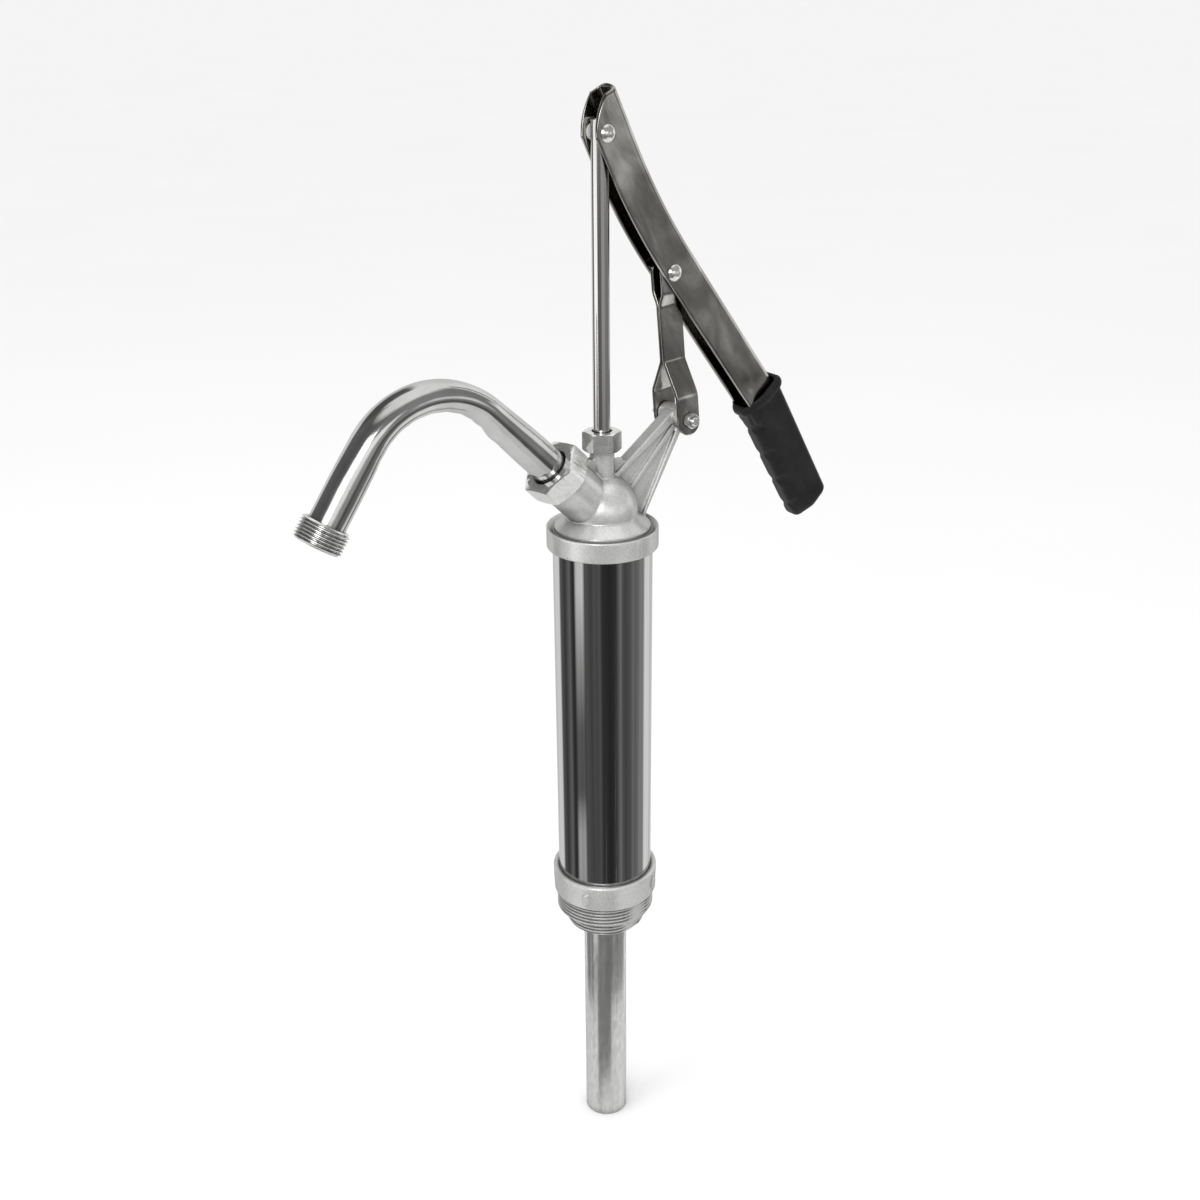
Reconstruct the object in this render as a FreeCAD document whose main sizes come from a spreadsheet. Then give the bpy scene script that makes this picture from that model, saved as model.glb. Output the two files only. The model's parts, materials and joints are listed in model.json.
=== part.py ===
import FreeCAD, Part
import math
import os
import re
import Sketcher

# Lever-action barrel pump with a bung adapter, a bent spout and a link-hung handle.
# Millimetres, +Z up along the barrel. The origin is on the barrel axis, on the shoulder that
# seats against the drum's bung. The mechanism lies in the XZ plane, spout to -X, handle to +X.

DIMENSIONS = {
    # barrel
    "barrel_radius": 28.5,
    "barrel_wall": 1.5,
    "barrel_foot_z": 4.5,
    "barrel_top_z": 233.0,
    "gasket_thickness": 1.5,
    "gasket_bore": 25.5,
    "socket_play": 0.05,
    # bung adapter
    "adapter_shoulder_radius": 31.4,
    "adapter_rim_radius": 31.9,
    "adapter_rim_z": 16.4,
    "adapter_rim_chamfer": 1.2,
    "large_thread_radius": 29.8,
    "large_thread_length": 13.3,
    "small_thread_radius": 23.9,
    "small_thread_length": 10.2,
    "bung_thread_pitch": 2.309,
    "bung_thread_depth": 1.48,
    "thread_crest": 0.6,
    "thread_root": 0.4,
    "thread_flat_angle": 10.0,
    "thread_flat_width": 40.0,
    "thread_flat_reach": 10.0,
    "valve_chamber_radius": 22.0,
    "valve_chamber_floor_z": -8.0,
    "lug_angle": 35.0,
    "lug_z": 7.5,
    "lug_half_height": 4.2,
    "lug_half_width": 2.2,
    "lug_proud": 1.3,
    # suction pipe
    "pipe_radius": 13.35,
    "pipe_spigot_radius": 12.8,
    "pipe_wall": 2.3,
    "pipe_bottom_z": -173.5,
    # foot valve
    "foot_port_radius": 9.0,
    "foot_seat_thickness": 4.0,
    "foot_disc_radius": 12.5,
    "foot_disc_thickness": 2.5,
    "foot_stem_radius": 2.5,
    "foot_stem_length": 9.5,
    "foot_lip_width": 1.5,
    "foot_lip_height": 0.5,
    "foot_lift": 3.0,
    "cage_play": 1.2,
    "cage_thickness": 2.5,
    "cage_radius": 15.5,
    "cage_port_radius": 3.2,
    "cage_port_circle": 10.5,
    # head casting
    "collar_radius": 31.8,
    "collar_bottom_z": 227.1,
    "collar_top_z": 239.2,
    "collar_rim": 0.5,
    "collar_groove_radius": 27.4,
    "collar_groove_depth": 2.4,
    "collar_step_z": 239.6,
    "collar_bore_radius": 24.5,
    "collar_ridge_width": 2.4,
    "collar_ridge_x": 2.2,
    "dome_radius": 20.0,
    "dome_wall": 3.5,
    "dome_base_z": 245.5,
    "dome_centre_z": 249.3,
    "neck_radius": 6.9,
    "neck_top_z": 286.3,
    # spout boss, measured along an axis that leaves the barrel axis at spout_axis_z
    "spout_axis_z": 245.0,
    "spout_rise": 45.0,
    "boss_radius": 14.4,
    "boss_length": 35.9,
    "boss_thread_radius": 12.5,
    "boss_thread_end": 40.8,
    "boss_bore_radius": 8.5,
    "boss_thread_play": 0.05,
    # spout and its union nut
    "spout_radius": 10.0,
    "spout_wall": 1.5,
    "spout_foot": 42.3,
    "spout_bend_start": 100.9,
    "spout_bend_radius": 45.0,
    "spout_bend_angle": 101.0,
    "spout_drop": 56.0,
    "outlet_thread_radius": 13.2,
    "outlet_thread_length": 12.5,
    "outlet_thread_pitch": 1.814,
    "outlet_thread_depth": 1.16,
    "union_flats": 32.0,
    "union_length": 13.0,
    "union_crown_inset": 1.0,
    "union_crown_drop": 1.2,
    "union_mouth_play": 0.3,
    "union_mouth_flare": 1.2,
    "union_clock": 38.8,
    # rod and gland
    "rod_radius": 4.75,
    "rod_top_z": 458.0,
    "gland_flats": 19.0,
    "gland_bottom_z": 282.8,
    "gland_top_z": 294.0,
    "gland_recess": 1.8,
    "gland_recess_gap": 0.9,
    "gland_clock": 30.5,
    "gland_roof": 2.3,
    "packing_height": 1.25,
    "packing_step": 1.3,
    "washer_height": 0.8,
    # piston, given at the top of its stroke
    "piston_z": 165.0,
    "piston_thickness": 10.0,
    "piston_radius": 26.6,
    "piston_lift": 3.0,
    "piston_stud_radius": 4.0,
    "piston_groove_depth": 3.2,
    "piston_land": 2.5,
    "piston_port_radius": 3.5,
    "piston_port_circle": 13.5,
    "piston_washer_radius": 9.0,
    "piston_washer_height": 1.5,
    "piston_nut_flats": 13.0,
    "piston_nut_height": 6.5,
    "piston_stud_proud": 1.0,
    "piston_disc_radius": 18.5,
    "piston_disc_height": 2.5,
    "piston_stop_radius": 10.0,
    # lever, drawn from the rod pin with x along the pin-to-pin line and z away from the link
    "rod_pin_z": 451.0,
    "lever_droop": 60.0,
    "lever_pin_span": 86.0,
    "lever_width": 16.0,
    "lever_sheet": 2.0,
    "lever_depth": 22.2,
    "lever_bend_x": 12.0,
    "lever_bend_z": 14.1,
    "lever_bend_radius": 350.0,
    "lever_nose_slope": 4.5,
    "lever_tail_slope": 7.0,
    "lever_nose_reach": 31.4,
    "lever_nose_low_reach": 10.0,
    "lever_nose_radius": 36.0,
    "lever_nose_front_x": -16.0,
    "lever_nose_front_z": 9.0,
    "lever_nose_plan_radius": 17.0,
    "lever_tail_length": 98.0,
    "lever_heel_radius": 60.0,
    "lever_heel_length": 71.0,
    "lever_tail_rise": 7.0,
    "lever_reach": 284.0,
    "pivot_radius": 2.5,
    "pivot_play": 0.05,
    "rivet_head_radius": 4.6,
    "rivet_head_height": 2.2,
    # grip
    "grip_start": 183.0,
    "grip_end": 273.0,
    "grip_middle_z": 16.45,
    "grip_width": 22.4,
    "grip_depth": 25.3,
    "grip_cant": 0.2,
    "grip_corner": 5.0,
    "grip_mouth_corner": 4.0,
    "grip_mouth_gap": 0.9,
    "grip_rim": 7.0,
    "grip_rim_height": 2.4,
    # link and fulcrum
    "fulcrum_x": 50.8,
    "fulcrum_z": 294.6,
    "link_length": 82.3,
    "link_lean": 5.44,
    "link_width": 14.2,
    "link_sheet": 2.5,
    "link_fork": 25.0,
    "link_head": 11.4,
    "link_foot_drop": 2.0,
    "fulcrum_boss_radius": 6.2,
    "fulcrum_boss_width": 19.6,
    "fulcrum_bolt_radius": 2.5,
    "fulcrum_flats": 8.0,
    "fulcrum_head_height": 4.6,
    "fulcrum_nut_height": 3.8,
    "fulcrum_bolt_proud": 2.2,
    # bracket
    "bracket_web": 3.2,
    "bracket_flange": 8.0,
    "bracket_rib": 6.0,
    "bracket_foot_x": 27.0,
    "bracket_foot_z": 239.5,
    "bracket_neck_x": 4.0,
    "bracket_neck_z": 276.4,
    "spout_web": 5.0,
}
FUNCTIONS = {"sin", "cos", "tan", "sqrt"}

doc = FreeCAD.newDocument("barrel_pump")
dims = doc.addObject("Spreadsheet::Sheet", "dims")
for row, (alias, number) in enumerate(DIMENSIONS.items(), start=1):
    dims.set(f"A{row}", alias)
    dims.set(f"B{row}", str(number))
    dims.setAlias(f"B{row}", alias)
doc.recompute()

sub_parts = []


def bound(expression):
    """The expression as other objects read it, with each cell's name led by the sheet's."""
    def lead(match):
        word = match.group(0)
        return word if word in FUNCTIONS else "dims." + word
    return re.sub(r"[a-z_]+", lead, str(expression))


def size(expression):
    """The number an expression stands for now."""
    return float(dims.evalExpression(str(expression)))


def keep(feature, label):
    """Gives a finished sub-part its name and puts it on the list to write."""
    feature.Label = label
    sub_parts.append(feature)
    return feature


# ---- sketches and solids ------------------------------------------------------------------

def new_body(name):
    return doc.addObject("PartDesign::Body", name + "_body")


def new_sketch(body, role, name):
    sketch = body.newObject("Sketcher::SketchObject", name)
    plane = [item for item in body.Origin.OriginFeatures if item.Role == role][0]
    sketch.AttachmentSupport = (plane, "")
    sketch.MapMode = "FlatFace"
    return sketch


def hold(sketch, kind, *target):
    """Adds one constraint whose last item is an expression bound to the sheet."""
    index = sketch.addConstraint(Sketcher.Constraint(kind, *target[:-1], size(target[-1])))
    sketch.setExpression(f"Constraints[{index}]", bound(target[-1]))


def side(start, end, radius):
    """A straight side, or an arc: a positive radius bulges to the left of travel."""
    if not radius:
        return Part.LineSegment(start, end)
    chord = end - start
    left = FreeCAD.Vector(-chord.y, chord.x, 0).normalize()
    depth = math.sqrt(radius ** 2 - (chord.Length / 2) ** 2)
    centre = (start + end) / 2 - left * math.copysign(depth, radius)
    first, last = (end, start) if radius > 0 else (start, end)
    angles = [math.atan2(point.y - centre.y, point.x - centre.x) for point in (first, last)]
    circle = Part.Circle(centre, FreeCAD.Vector(0, 0, 1), abs(radius))
    return Part.ArcOfCircle(circle, angles[0], angles[1])


def draw(sketch, corners, closed=True):
    """An outline through corners given as (x, y) or (x, y, radius) expressions.

    A radius turns the side that starts at its corner into an arc.
    """
    points = [FreeCAD.Vector(size(c[0]), size(c[1]), 0) for c in corners]
    radii = [c[2] if len(c) > 2 else None for c in corners]
    count = len(corners) if closed else len(corners) - 1
    starts = []
    for i in range(count):
        radius = size(radii[i]) if radii[i] else None
        sketch.addGeometry(side(points[i], points[(i + 1) % len(points)], radius))
        starts.append(2 if radius and radius > 0 else 1)
    for i in range(count):
        if closed or i + 1 < count:
            following = (i + 1) % count
            sketch.addConstraint(Sketcher.Constraint(
                "Coincident", i, 3 - starts[i], following, starts[following]))
        place_corner(sketch, i, starts[i], corners[i])
        if radii[i]:
            hold(sketch, "Radius", i, radii[i].lstrip("-"))
    if not closed:
        place_corner(sketch, count - 1, 3 - starts[-1], corners[-1])


def place_corner(sketch, geometry, end, corner):
    for kind, axis, expression in (("DistanceX", -2, corner[0]), ("DistanceY", -1, corner[1])):
        if abs(size(expression)) < 1e-9:
            sketch.addConstraint(Sketcher.Constraint("PointOnObject", geometry, end, axis))
        else:
            hold(sketch, kind, -1, 1, geometry, end, expression)


def spin(name, corners):
    """A solid of revolution about Z from an outline of (radius, height) corners."""
    body = new_body(name)
    sketch = new_sketch(body, "XZ_Plane", name + "_profile")
    draw(sketch, corners)
    turn = body.newObject("PartDesign::Revolution", name + "_turn")
    turn.Profile = sketch
    turn.ReferenceAxis = (sketch, ["V_Axis"])
    turn.Angle = 360
    doc.recompute()
    return body


def ring(name, inner, outer, low, high):
    """A plain ring, tube or (with inner 0) disc."""
    return spin(name, [(inner, low), (outer, low), (outer, high), (inner, high)])


def slab(name, corners, width, role="XZ_Plane"):
    """An outline thickened equally to both sides of its plane."""
    body = new_body(name)
    sketch = new_sketch(body, role, name + "_outline")
    draw(sketch, corners)
    pad = body.newObject("PartDesign::Pad", name + "_pad")
    pad.Profile = sketch
    pad.Midplane = True
    pad.setExpression("Length", bound(width))
    doc.recompute()
    return body


def pin(name, radius, length, x="0", y="0", z="0", tilt="0", axis=(0, 1, 0)):
    """A cylinder that starts at a point and runs along Z turned by tilt about an axis."""
    shaft = doc.addObject("Part::Cylinder", name)
    shaft.setExpression("Radius", bound(radius))
    shaft.setExpression("Height", bound(length))
    place(shaft, x, y, z, tilt, axis)
    return shaft


def place(feature, x="0", y="0", z="0", tilt="0", axis=(0, 1, 0)):
    """Binds a feature's place and its turn about one axis to the sheet."""
    turn = FreeCAD.Rotation(FreeCAD.Vector(*axis), size(tilt))
    feature.Placement = FreeCAD.Placement(FreeCAD.Vector(size(x), size(y), size(z)), turn)
    for letter, expression in (("x", x), ("y", y), ("z", z)):
        feature.setExpression(f"Placement.Base.{letter}", bound(expression))
    feature.setExpression("Placement.Rotation.Angle", bound(tilt))
    return feature


def join(name, *pieces):
    fused = doc.addObject("Part::MultiFuse", name)
    fused.Shapes = list(pieces)
    return fused


def cut(name, base, tool):
    feature = doc.addObject("Part::Cut", name)
    feature.Base = base
    feature.Tool = tool
    return feature


def common(name, one, other):
    feature = doc.addObject("Part::Common", name)
    feature.Base = one
    feature.Tool = other
    return feature


def group(name, *pieces):
    compound = doc.addObject("Part::Compound", name)
    compound.Links = list(pieces)
    return compound


def thread_corners(radius, depth, pitch, start, length, step):
    """Crests and valleys of a ring thread down a straight wall, from z = start."""
    corners = []
    turns = int(size(length) / size(pitch))
    for i in range(turns):
        top = f"{start} + ({step}) * {pitch} * {i}"
        crest = f"({step}) * thread_crest"
        valley = f"({step}) * (({pitch} - thread_crest - thread_root) / 2)"
        root = f"({step}) * thread_root"
        corners += [
            (radius, top),
            (radius, f"{top} + {crest}"),
            (f"{radius} - {depth}", f"{top} + {crest} + {valley}"),
            (f"{radius} - {depth}", f"{top} + {crest} + {valley} + {root}"),
        ]
    corners.append((radius, f"{start} + ({step}) * {pitch} * {turns}"))
    corners.append((radius, f"{start} + ({step}) * {length}"))
    return corners


def hexagon(name, flats, low, high, clock, crown_inset="0.3", crown_drop="0.6"):
    """A hexagonal bar between two heights, with its corners turned off at both ends.

    The crown is the cone at the high end: it starts inset from the flats and falls by its drop.
    """
    across = f"({flats}) / sqrt(3)"
    prism = doc.addObject("Part::Prism", name + "_prism")
    prism.Polygon = 6
    prism.setExpression("Circumradius", bound(across))
    prism.setExpression("Height", bound(f"({high}) - ({low})"))
    place(prism, z=low, tilt=clock, axis=(0, 0, 1))
    beyond = f"{across} + 0.1"
    drum = spin(name + "_drum", [
        ("0", low), (f"({flats}) / 2 - 0.3", low), (beyond, f"{low} + ({across} - ({flats}) / 2) * 0.6"),
        (beyond, f"{high} - ({crown_drop})"), (f"({flats}) / 2 - ({crown_inset})", high), ("0", high)])
    return common(name + "_hexagon", prism, drum)


# ---- barrel and bung adapter --------------------------------------------------------------

def barrel_parts():
    inner = "barrel_radius - barrel_wall"
    keep(ring("barrel_tube", inner, "barrel_radius", "barrel_foot_z", "barrel_top_z"), "barrel_tube")
    gasket_edge = "barrel_radius - 2 * socket_play"
    keep(ring("barrel_foot_gasket", "gasket_bore", gasket_edge,
              "barrel_foot_z - gasket_thickness", "barrel_foot_z"), "barrel_foot_gasket")
    keep(ring("barrel_top_gasket", "gasket_bore", gasket_edge,
              "barrel_top_z", "barrel_top_z + gasket_thickness"), "barrel_top_gasket")


def bung_adapter():
    socket = "barrel_radius + socket_play"
    floor = "barrel_foot_z - gasket_thickness"
    small_top = "-large_thread_length"
    outline = [("adapter_rim_radius - adapter_rim_chamfer", "adapter_rim_z"), (socket, "adapter_rim_z"),
               (socket, floor), ("valve_chamber_radius", floor),
               ("valve_chamber_radius", "valve_chamber_floor_z"),
               ("pipe_spigot_radius", "valve_chamber_floor_z"),
               ("pipe_spigot_radius", "-large_thread_length - small_thread_length")]
    small = thread_corners("small_thread_radius", "bung_thread_depth", "bung_thread_pitch",
                           small_top, "small_thread_length", "-1")
    large = thread_corners("large_thread_radius", "bung_thread_depth", "bung_thread_pitch",
                           "0", "large_thread_length", "-1")
    small[0] = ("small_thread_radius", small_top)
    outline += list(reversed(small)) + list(reversed(large))
    outline += [("adapter_shoulder_radius", "0"),
                ("adapter_rim_radius", "adapter_rim_z - adapter_rim_chamfer")]
    turned = spin("adapter_turned", outline)
    lugs = []
    for quarter in range(4):
        lug = doc.addObject("Part::Ellipsoid", f"adapter_lug_{quarter}")
        lug.setExpression("Radius1", bound("lug_half_height"))
        lug.setExpression("Radius2", bound("lug_proud"))
        lug.setExpression("Radius3", bound("lug_half_width"))
        angle = f"lug_angle + {90 * quarter}"
        place(lug, f"adapter_rim_radius * cos({angle})", f"adapter_rim_radius * sin({angle})",
              "lug_z", angle, axis=(0, 0, 1))
        lugs.append(lug)
    slots = []
    for half in range(2):
        for wall, top, length in (("large_thread_radius - bung_thread_depth", "0", "large_thread_length"),
                                  ("small_thread_radius - bung_thread_depth",
                                   small_top, "small_thread_length")):
            slots.append(flat_slot(f"thread_flat_{len(slots)}", wall, top, length, half))
    body = cut("adapter_flatted", join("adapter_lugged", turned, *lugs), join("thread_flats", *slots))
    socket_core = pin("adapter_socket_core", socket, f"adapter_rim_z - {floor} + 1", z=floor)
    keep(cut("bung_adapter", body, socket_core), "bung_adapter")


def flat_slot(name, wall, top, length, half):
    """A box that planes one side of a thread flat, on one of two opposite sides."""
    box = doc.addObject("Part::Box", name)
    box.setExpression("Length", bound("thread_flat_width"))
    box.setExpression("Width", bound("thread_flat_reach"))
    box.setExpression("Height", bound(length))
    angle = f"thread_flat_angle + {180 * half}"
    back = "(-thread_flat_width / 2)"
    place(box, f"{back} * cos({angle}) - ({wall}) * sin({angle})",
          f"{back} * sin({angle}) + ({wall}) * cos({angle})", f"{top} - {length}", angle,
          axis=(0, 0, 1))
    return box


def suction_pipe():
    shoulder = "-large_thread_length - small_thread_length"
    keep(spin("suction_pipe", [
        ("pipe_radius - pipe_wall", "pipe_bottom_z"), ("pipe_radius", "pipe_bottom_z"),
        ("pipe_radius", shoulder), ("pipe_spigot_radius", shoulder),
        ("pipe_spigot_radius", "valve_chamber_floor_z"),
        ("pipe_radius - pipe_wall", "valve_chamber_floor_z")]), "suction_pipe")


def foot_valve():
    floor = "valve_chamber_floor_z"
    seat_top = f"{floor} + foot_seat_thickness"
    rest = f"{seat_top} + foot_lip_height"
    disc_top = f"{rest} + foot_disc_thickness"
    stem_top = f"{disc_top} + foot_stem_length"
    lip = "foot_port_radius + foot_lip_width"
    keep(spin("foot_valve_seat", [
        ("foot_port_radius", floor), ("valve_chamber_radius", floor), ("valve_chamber_radius", seat_top),
        (lip, seat_top), (lip, rest), ("foot_port_radius", rest)]), "foot_valve_seat")
    keep(spin("foot_valve_disc", [
        ("0", rest), ("foot_disc_radius", rest), ("foot_disc_radius", disc_top),
        ("foot_stem_radius + 1", disc_top), ("foot_stem_radius", f"{disc_top} + 1"),
        ("foot_stem_radius", stem_top), ("0", stem_top)]), "foot_valve_disc")
    guide = "foot_stem_radius + pivot_play"
    bridge = f"{disc_top} + foot_lift + cage_play"
    bridge_top = f"{bridge} + cage_thickness"
    cage = spin("foot_cage", [
        (guide, bridge), ("cage_radius", bridge), ("cage_radius", seat_top),
        ("valve_chamber_radius", seat_top), ("valve_chamber_radius", bridge_top), (guide, bridge_top)])
    ports = ring_of_pins("foot_port", 6, "cage_port_radius", "cage_port_circle", bridge,
                         "cage_thickness + 1")
    keep(cut("foot_valve_cage", cage, join("foot_ports", *ports)), "foot_valve_cage")


def ring_of_pins(name, count, radius, circle, low, length):
    """Equal upright cylinders spaced round a circle."""
    pins = []
    for i in range(count):
        angle = f"{360 / count} * {i}"
        pins.append(pin(f"{name}_{i}", radius, length,
                        f"{circle} * cos({angle})", f"{circle} * sin({angle})", f"{low} - 0.5"))
    return pins


# ---- head casting -------------------------------------------------------------------------

def head_casting():
    groove_floor = "collar_top_z - collar_groove_depth"
    groove = "collar_groove_radius"
    neck_foot = "dome_centre_z + sqrt(dome_radius * dome_radius - neck_radius * neck_radius)"
    turned = spin("head_turned", [
        ("0", "collar_bottom_z"), ("collar_radius - collar_rim", "collar_bottom_z"),
        ("collar_radius", "collar_bottom_z + collar_rim"),
        ("collar_radius", "collar_top_z - collar_rim", "-collar_rim"),
        ("collar_radius - collar_rim", "collar_top_z"), (f"{groove} + 0.4", groove_floor),
        (groove, groove_floor), (groove, "collar_step_z"), ("dome_radius", "dome_base_z"),
        ("dome_radius", "dome_centre_z", "-dome_radius"), ("neck_radius", neck_foot),
        ("neck_radius", "neck_top_z - 0.8"), ("neck_radius - 0.8", "neck_top_z"), ("0", "neck_top_z")])
    inner = "dome_radius - dome_wall"
    ceiling = "barrel_top_z + gasket_thickness"
    bore = "rod_radius + 0.08"
    hollow = spin("head_hollow", [
        ("0", "collar_bottom_z - 1"), ("barrel_radius + socket_play", "collar_bottom_z - 1"),
        ("barrel_radius + socket_play", ceiling), ("collar_bore_radius", ceiling), (inner, "dome_base_z"),
        (inner, "dome_centre_z", "-(dome_radius - dome_wall)"),
        (bore, f"dome_centre_z + sqrt(({inner}) * ({inner}) - ({bore}) * ({bore}))"),
        (bore, "neck_top_z + 1"), ("0", "neck_top_z + 1")])
    boss = pin("spout_boss", "boss_radius", "boss_length", z="spout_axis_z", tilt="-spout_rise")
    boss_thread = pin("spout_boss_thread", "boss_thread_radius", "boss_thread_end",
                      z="spout_axis_z", tilt="-spout_rise")
    spout_bore = pin("spout_bore", "boss_bore_radius", "boss_thread_end + 1",
                     z="spout_axis_z", tilt="-spout_rise")
    ridge = doc.addObject("Part::Box", "collar_ridge")
    ridge.setExpression("Length", bound("collar_ridge_width"))
    ridge.setExpression("Width", bound("collar_ridge_width"))
    ridge.setExpression("Height", bound("collar_top_z - collar_bottom_z - 1.4"))
    place(ridge, "collar_ridge_x", "-collar_radius - 0.3", "collar_bottom_z + 0.2", "6", axis=(0, 0, 1))
    solid = join("head_solid", turned, boss, boss_thread, ridge, *bracket())
    fulcrum_bore = pin("fulcrum_bore", "fulcrum_bolt_radius + pivot_play", "fulcrum_boss_width + 2",
                       "fulcrum_x", "fulcrum_boss_width / 2 + 1", "fulcrum_z", "90", (1, 0, 0))
    keep(cut("head_casting", solid, join("head_voids", hollow, spout_bore, fulcrum_bore)), "head_casting")


def bracket():
    """The ribbed arm from the dome to the fulcrum boss, and the webs beside the gland neck."""
    foot = "bracket_foot_x"
    low = "bracket_foot_z"
    near = "bracket_neck_x"
    web = slab("bracket_plate", [
        (near, f"{low} + 12.5"), (f"{foot} - 9", low), (foot, low), ("fulcrum_x + 1.5", "fulcrum_z - 5"),
        ("fulcrum_x - 3", "fulcrum_z + 5"), ("14.5", "bracket_neck_z - 2.8"), ("12.6", "bracket_neck_z"),
        (near, "bracket_neck_z")], "bracket_web")
    top = slab("bracket_top_flange", [
        (near, "bracket_neck_z - 12.9"), (f"{near} + 4.2", "bracket_neck_z - 10.1"),
        ("fulcrum_x - 1", "fulcrum_z"), ("fulcrum_x - 5", "fulcrum_z + 4"),
        (f"{near} + 3.6", "bracket_neck_z - 7"), (near, "bracket_neck_z - 7")], "bracket_flange")
    middle = slab("bracket_middle_rib", [
        (f"{foot} - 13", f"{low} + 16"), (f"{foot} - 11", f"{low} + 14"), ("fulcrum_x", "fulcrum_z - 4"),
        ("fulcrum_x - 3", "fulcrum_z - 2")], "bracket_rib")
    rear = slab("bracket_rear_flange", [
        (f"{foot} - 3", f"{low} - 1"), (f"{foot} + 0.3", f"{low} - 1"), (f"{foot} + 0.3", f"{low} + 2"),
        ("fulcrum_x + 2.2", "fulcrum_z - 5.5"), ("fulcrum_x - 1", "fulcrum_z - 4")], "bracket_flange")
    boss = pin("fulcrum_boss", "fulcrum_boss_radius", "fulcrum_boss_width",
               "fulcrum_x", "fulcrum_boss_width / 2", "fulcrum_z", "90", (1, 0, 0))
    spout_side = slab("spout_side_web", [
        (f"-{near}", "279.5"), ("-10.6", "279.5", "2"), ("-12.4", "277.5"), ("-13.4", "262"),
        (f"-{near}", "262")], "spout_web")
    return web, top, middle, rear, boss, spout_side


# ---- gland --------------------------------------------------------------------------------

def gland_parts():
    chamber_top = "gland_top_z - gland_roof"
    thread = "neck_radius + pivot_play"
    bore = "rod_radius + 0.15"
    recess = "rod_radius + gland_recess_gap"
    floor = "gland_top_z - gland_recess"
    blank = hexagon("gland", "gland_flats", "gland_bottom_z", "gland_top_z", "gland_clock")
    hole = spin("gland_hole", [
        ("0", "gland_bottom_z - 1"), (thread, "gland_bottom_z - 1"), (thread, chamber_top),
        (bore, chamber_top), (bore, floor), (recess, floor), (recess, "gland_top_z + 1"),
        ("0", "gland_top_z + 1")])
    keep(cut("gland_nut", blank, hole), "gland_nut")
    inner = "rod_radius + pivot_play"
    outer = "neck_radius - pivot_play"
    stack = "neck_top_z + washer_height"
    keep(ring("gland_washer", inner, outer, "neck_top_z", stack), "gland_washer")
    rings = [ring(f"packing_{i}", inner, outer, f"{stack} + {i} * packing_step",
                  f"{stack} + {i} * packing_step + packing_height") for i in range(2)]
    keep(group("gland_packing", *rings), "gland_packing")


# ---- spout --------------------------------------------------------------------------------

def on_spout_axis(feature):
    return place(feature, z="spout_axis_z", tilt="-spout_rise")


def spout_parts():
    body = new_body("spout_tube")
    path = new_sketch(body, "XZ_Plane", "spout_path")
    turn = "spout_bend_angle"
    bend_x = f"-spout_bend_radius + spout_bend_radius * cos({turn})"
    bend_z = f"spout_bend_start + spout_bend_radius * sin({turn})"
    draw(path, [
        ("0", "spout_foot"), ("0", "spout_bend_start", "-spout_bend_radius"), (bend_x, bend_z),
        (f"{bend_x} - spout_drop * sin({turn})", f"{bend_z} + spout_drop * cos({turn})")], closed=False)
    section = new_sketch(body, "XY_Plane", "spout_section")
    section.AttachmentOffset = FreeCAD.Placement(
        FreeCAD.Vector(0, 0, size("spout_foot")), FreeCAD.Rotation())
    section.setExpression("AttachmentOffset.Base.z", bound("spout_foot"))
    for index, radius in enumerate(("spout_radius", "spout_radius - spout_wall")):
        section.addGeometry(Part.Circle(FreeCAD.Vector(), FreeCAD.Vector(0, 0, 1), size(radius)))
        section.addConstraint(Sketcher.Constraint("Coincident", index, 3, -1, 1))
        hold(section, "Radius", index, radius)
    pipe = body.newObject("PartDesign::AdditivePipe", "spout_pipe")
    pipe.Profile = section
    pipe.Spine = (path, ["Edge1", "Edge2", "Edge3"])
    doc.recompute()
    keep(on_spout_axis(body), "spout_tube")

    front = "boss_length + 0.1 + union_length"
    seat = "spout_foot + 2"
    blank = hexagon("union", "union_flats", "boss_length + 0.1", front, "union_clock",
                    "union_crown_inset", "union_crown_drop")
    thread = "boss_thread_radius + boss_thread_play"
    mouth = "spout_radius + union_mouth_play"
    hole = spin("union_hole", [
        ("0", "boss_length - 1"), (thread, "boss_length - 1"), (thread, seat), (mouth, seat),
        (mouth, f"{front} - union_mouth_flare"), (f"{mouth} + union_mouth_flare", front),
        (f"{mouth} + union_mouth_flare", f"{front} + 1"), ("0", f"{front} + 1")])
    keep(on_spout_axis(cut("spout_union_nut", blank, hole)), "spout_union_nut")
    keep(on_spout_axis(ring("spout_collar", "spout_radius", "boss_thread_radius - 0.2",
                            "spout_foot", seat)), "spout_collar")
    keep(on_spout_axis(ring("spout_seal", "boss_bore_radius + 0.3", "boss_thread_radius - 0.3",
                            "boss_thread_end", "spout_foot")), "spout_seal")

    ferrule = [("spout_radius", "0"), ("spout_radius", "outlet_thread_length"),
               ("outlet_thread_radius - 0.6", "outlet_thread_length")]
    threads = thread_corners("outlet_thread_radius", "outlet_thread_depth", "outlet_thread_pitch",
                             "0", "outlet_thread_length - 0.6", "1")
    ferrule += list(reversed(threads))
    outlet = spin("spout_outlet_ferrule", ferrule)
    drop = "spout_drop - outlet_thread_length"
    place(outlet, outlet_x(drop), "0", outlet_z(drop), "-spout_rise - spout_bend_angle")
    keep(outlet, "spout_outlet_ferrule")


def outlet_x(drop):
    """X of a point on the spout's centreline, a given length past the bend."""
    along = f"spout_bend_start * sin(spout_rise) + spout_bend_radius * cos(spout_rise)"
    end = "spout_rise + spout_bend_angle"
    return f"-({along}) + spout_bend_radius * cos({end}) - ({drop}) * sin({end})"


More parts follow.
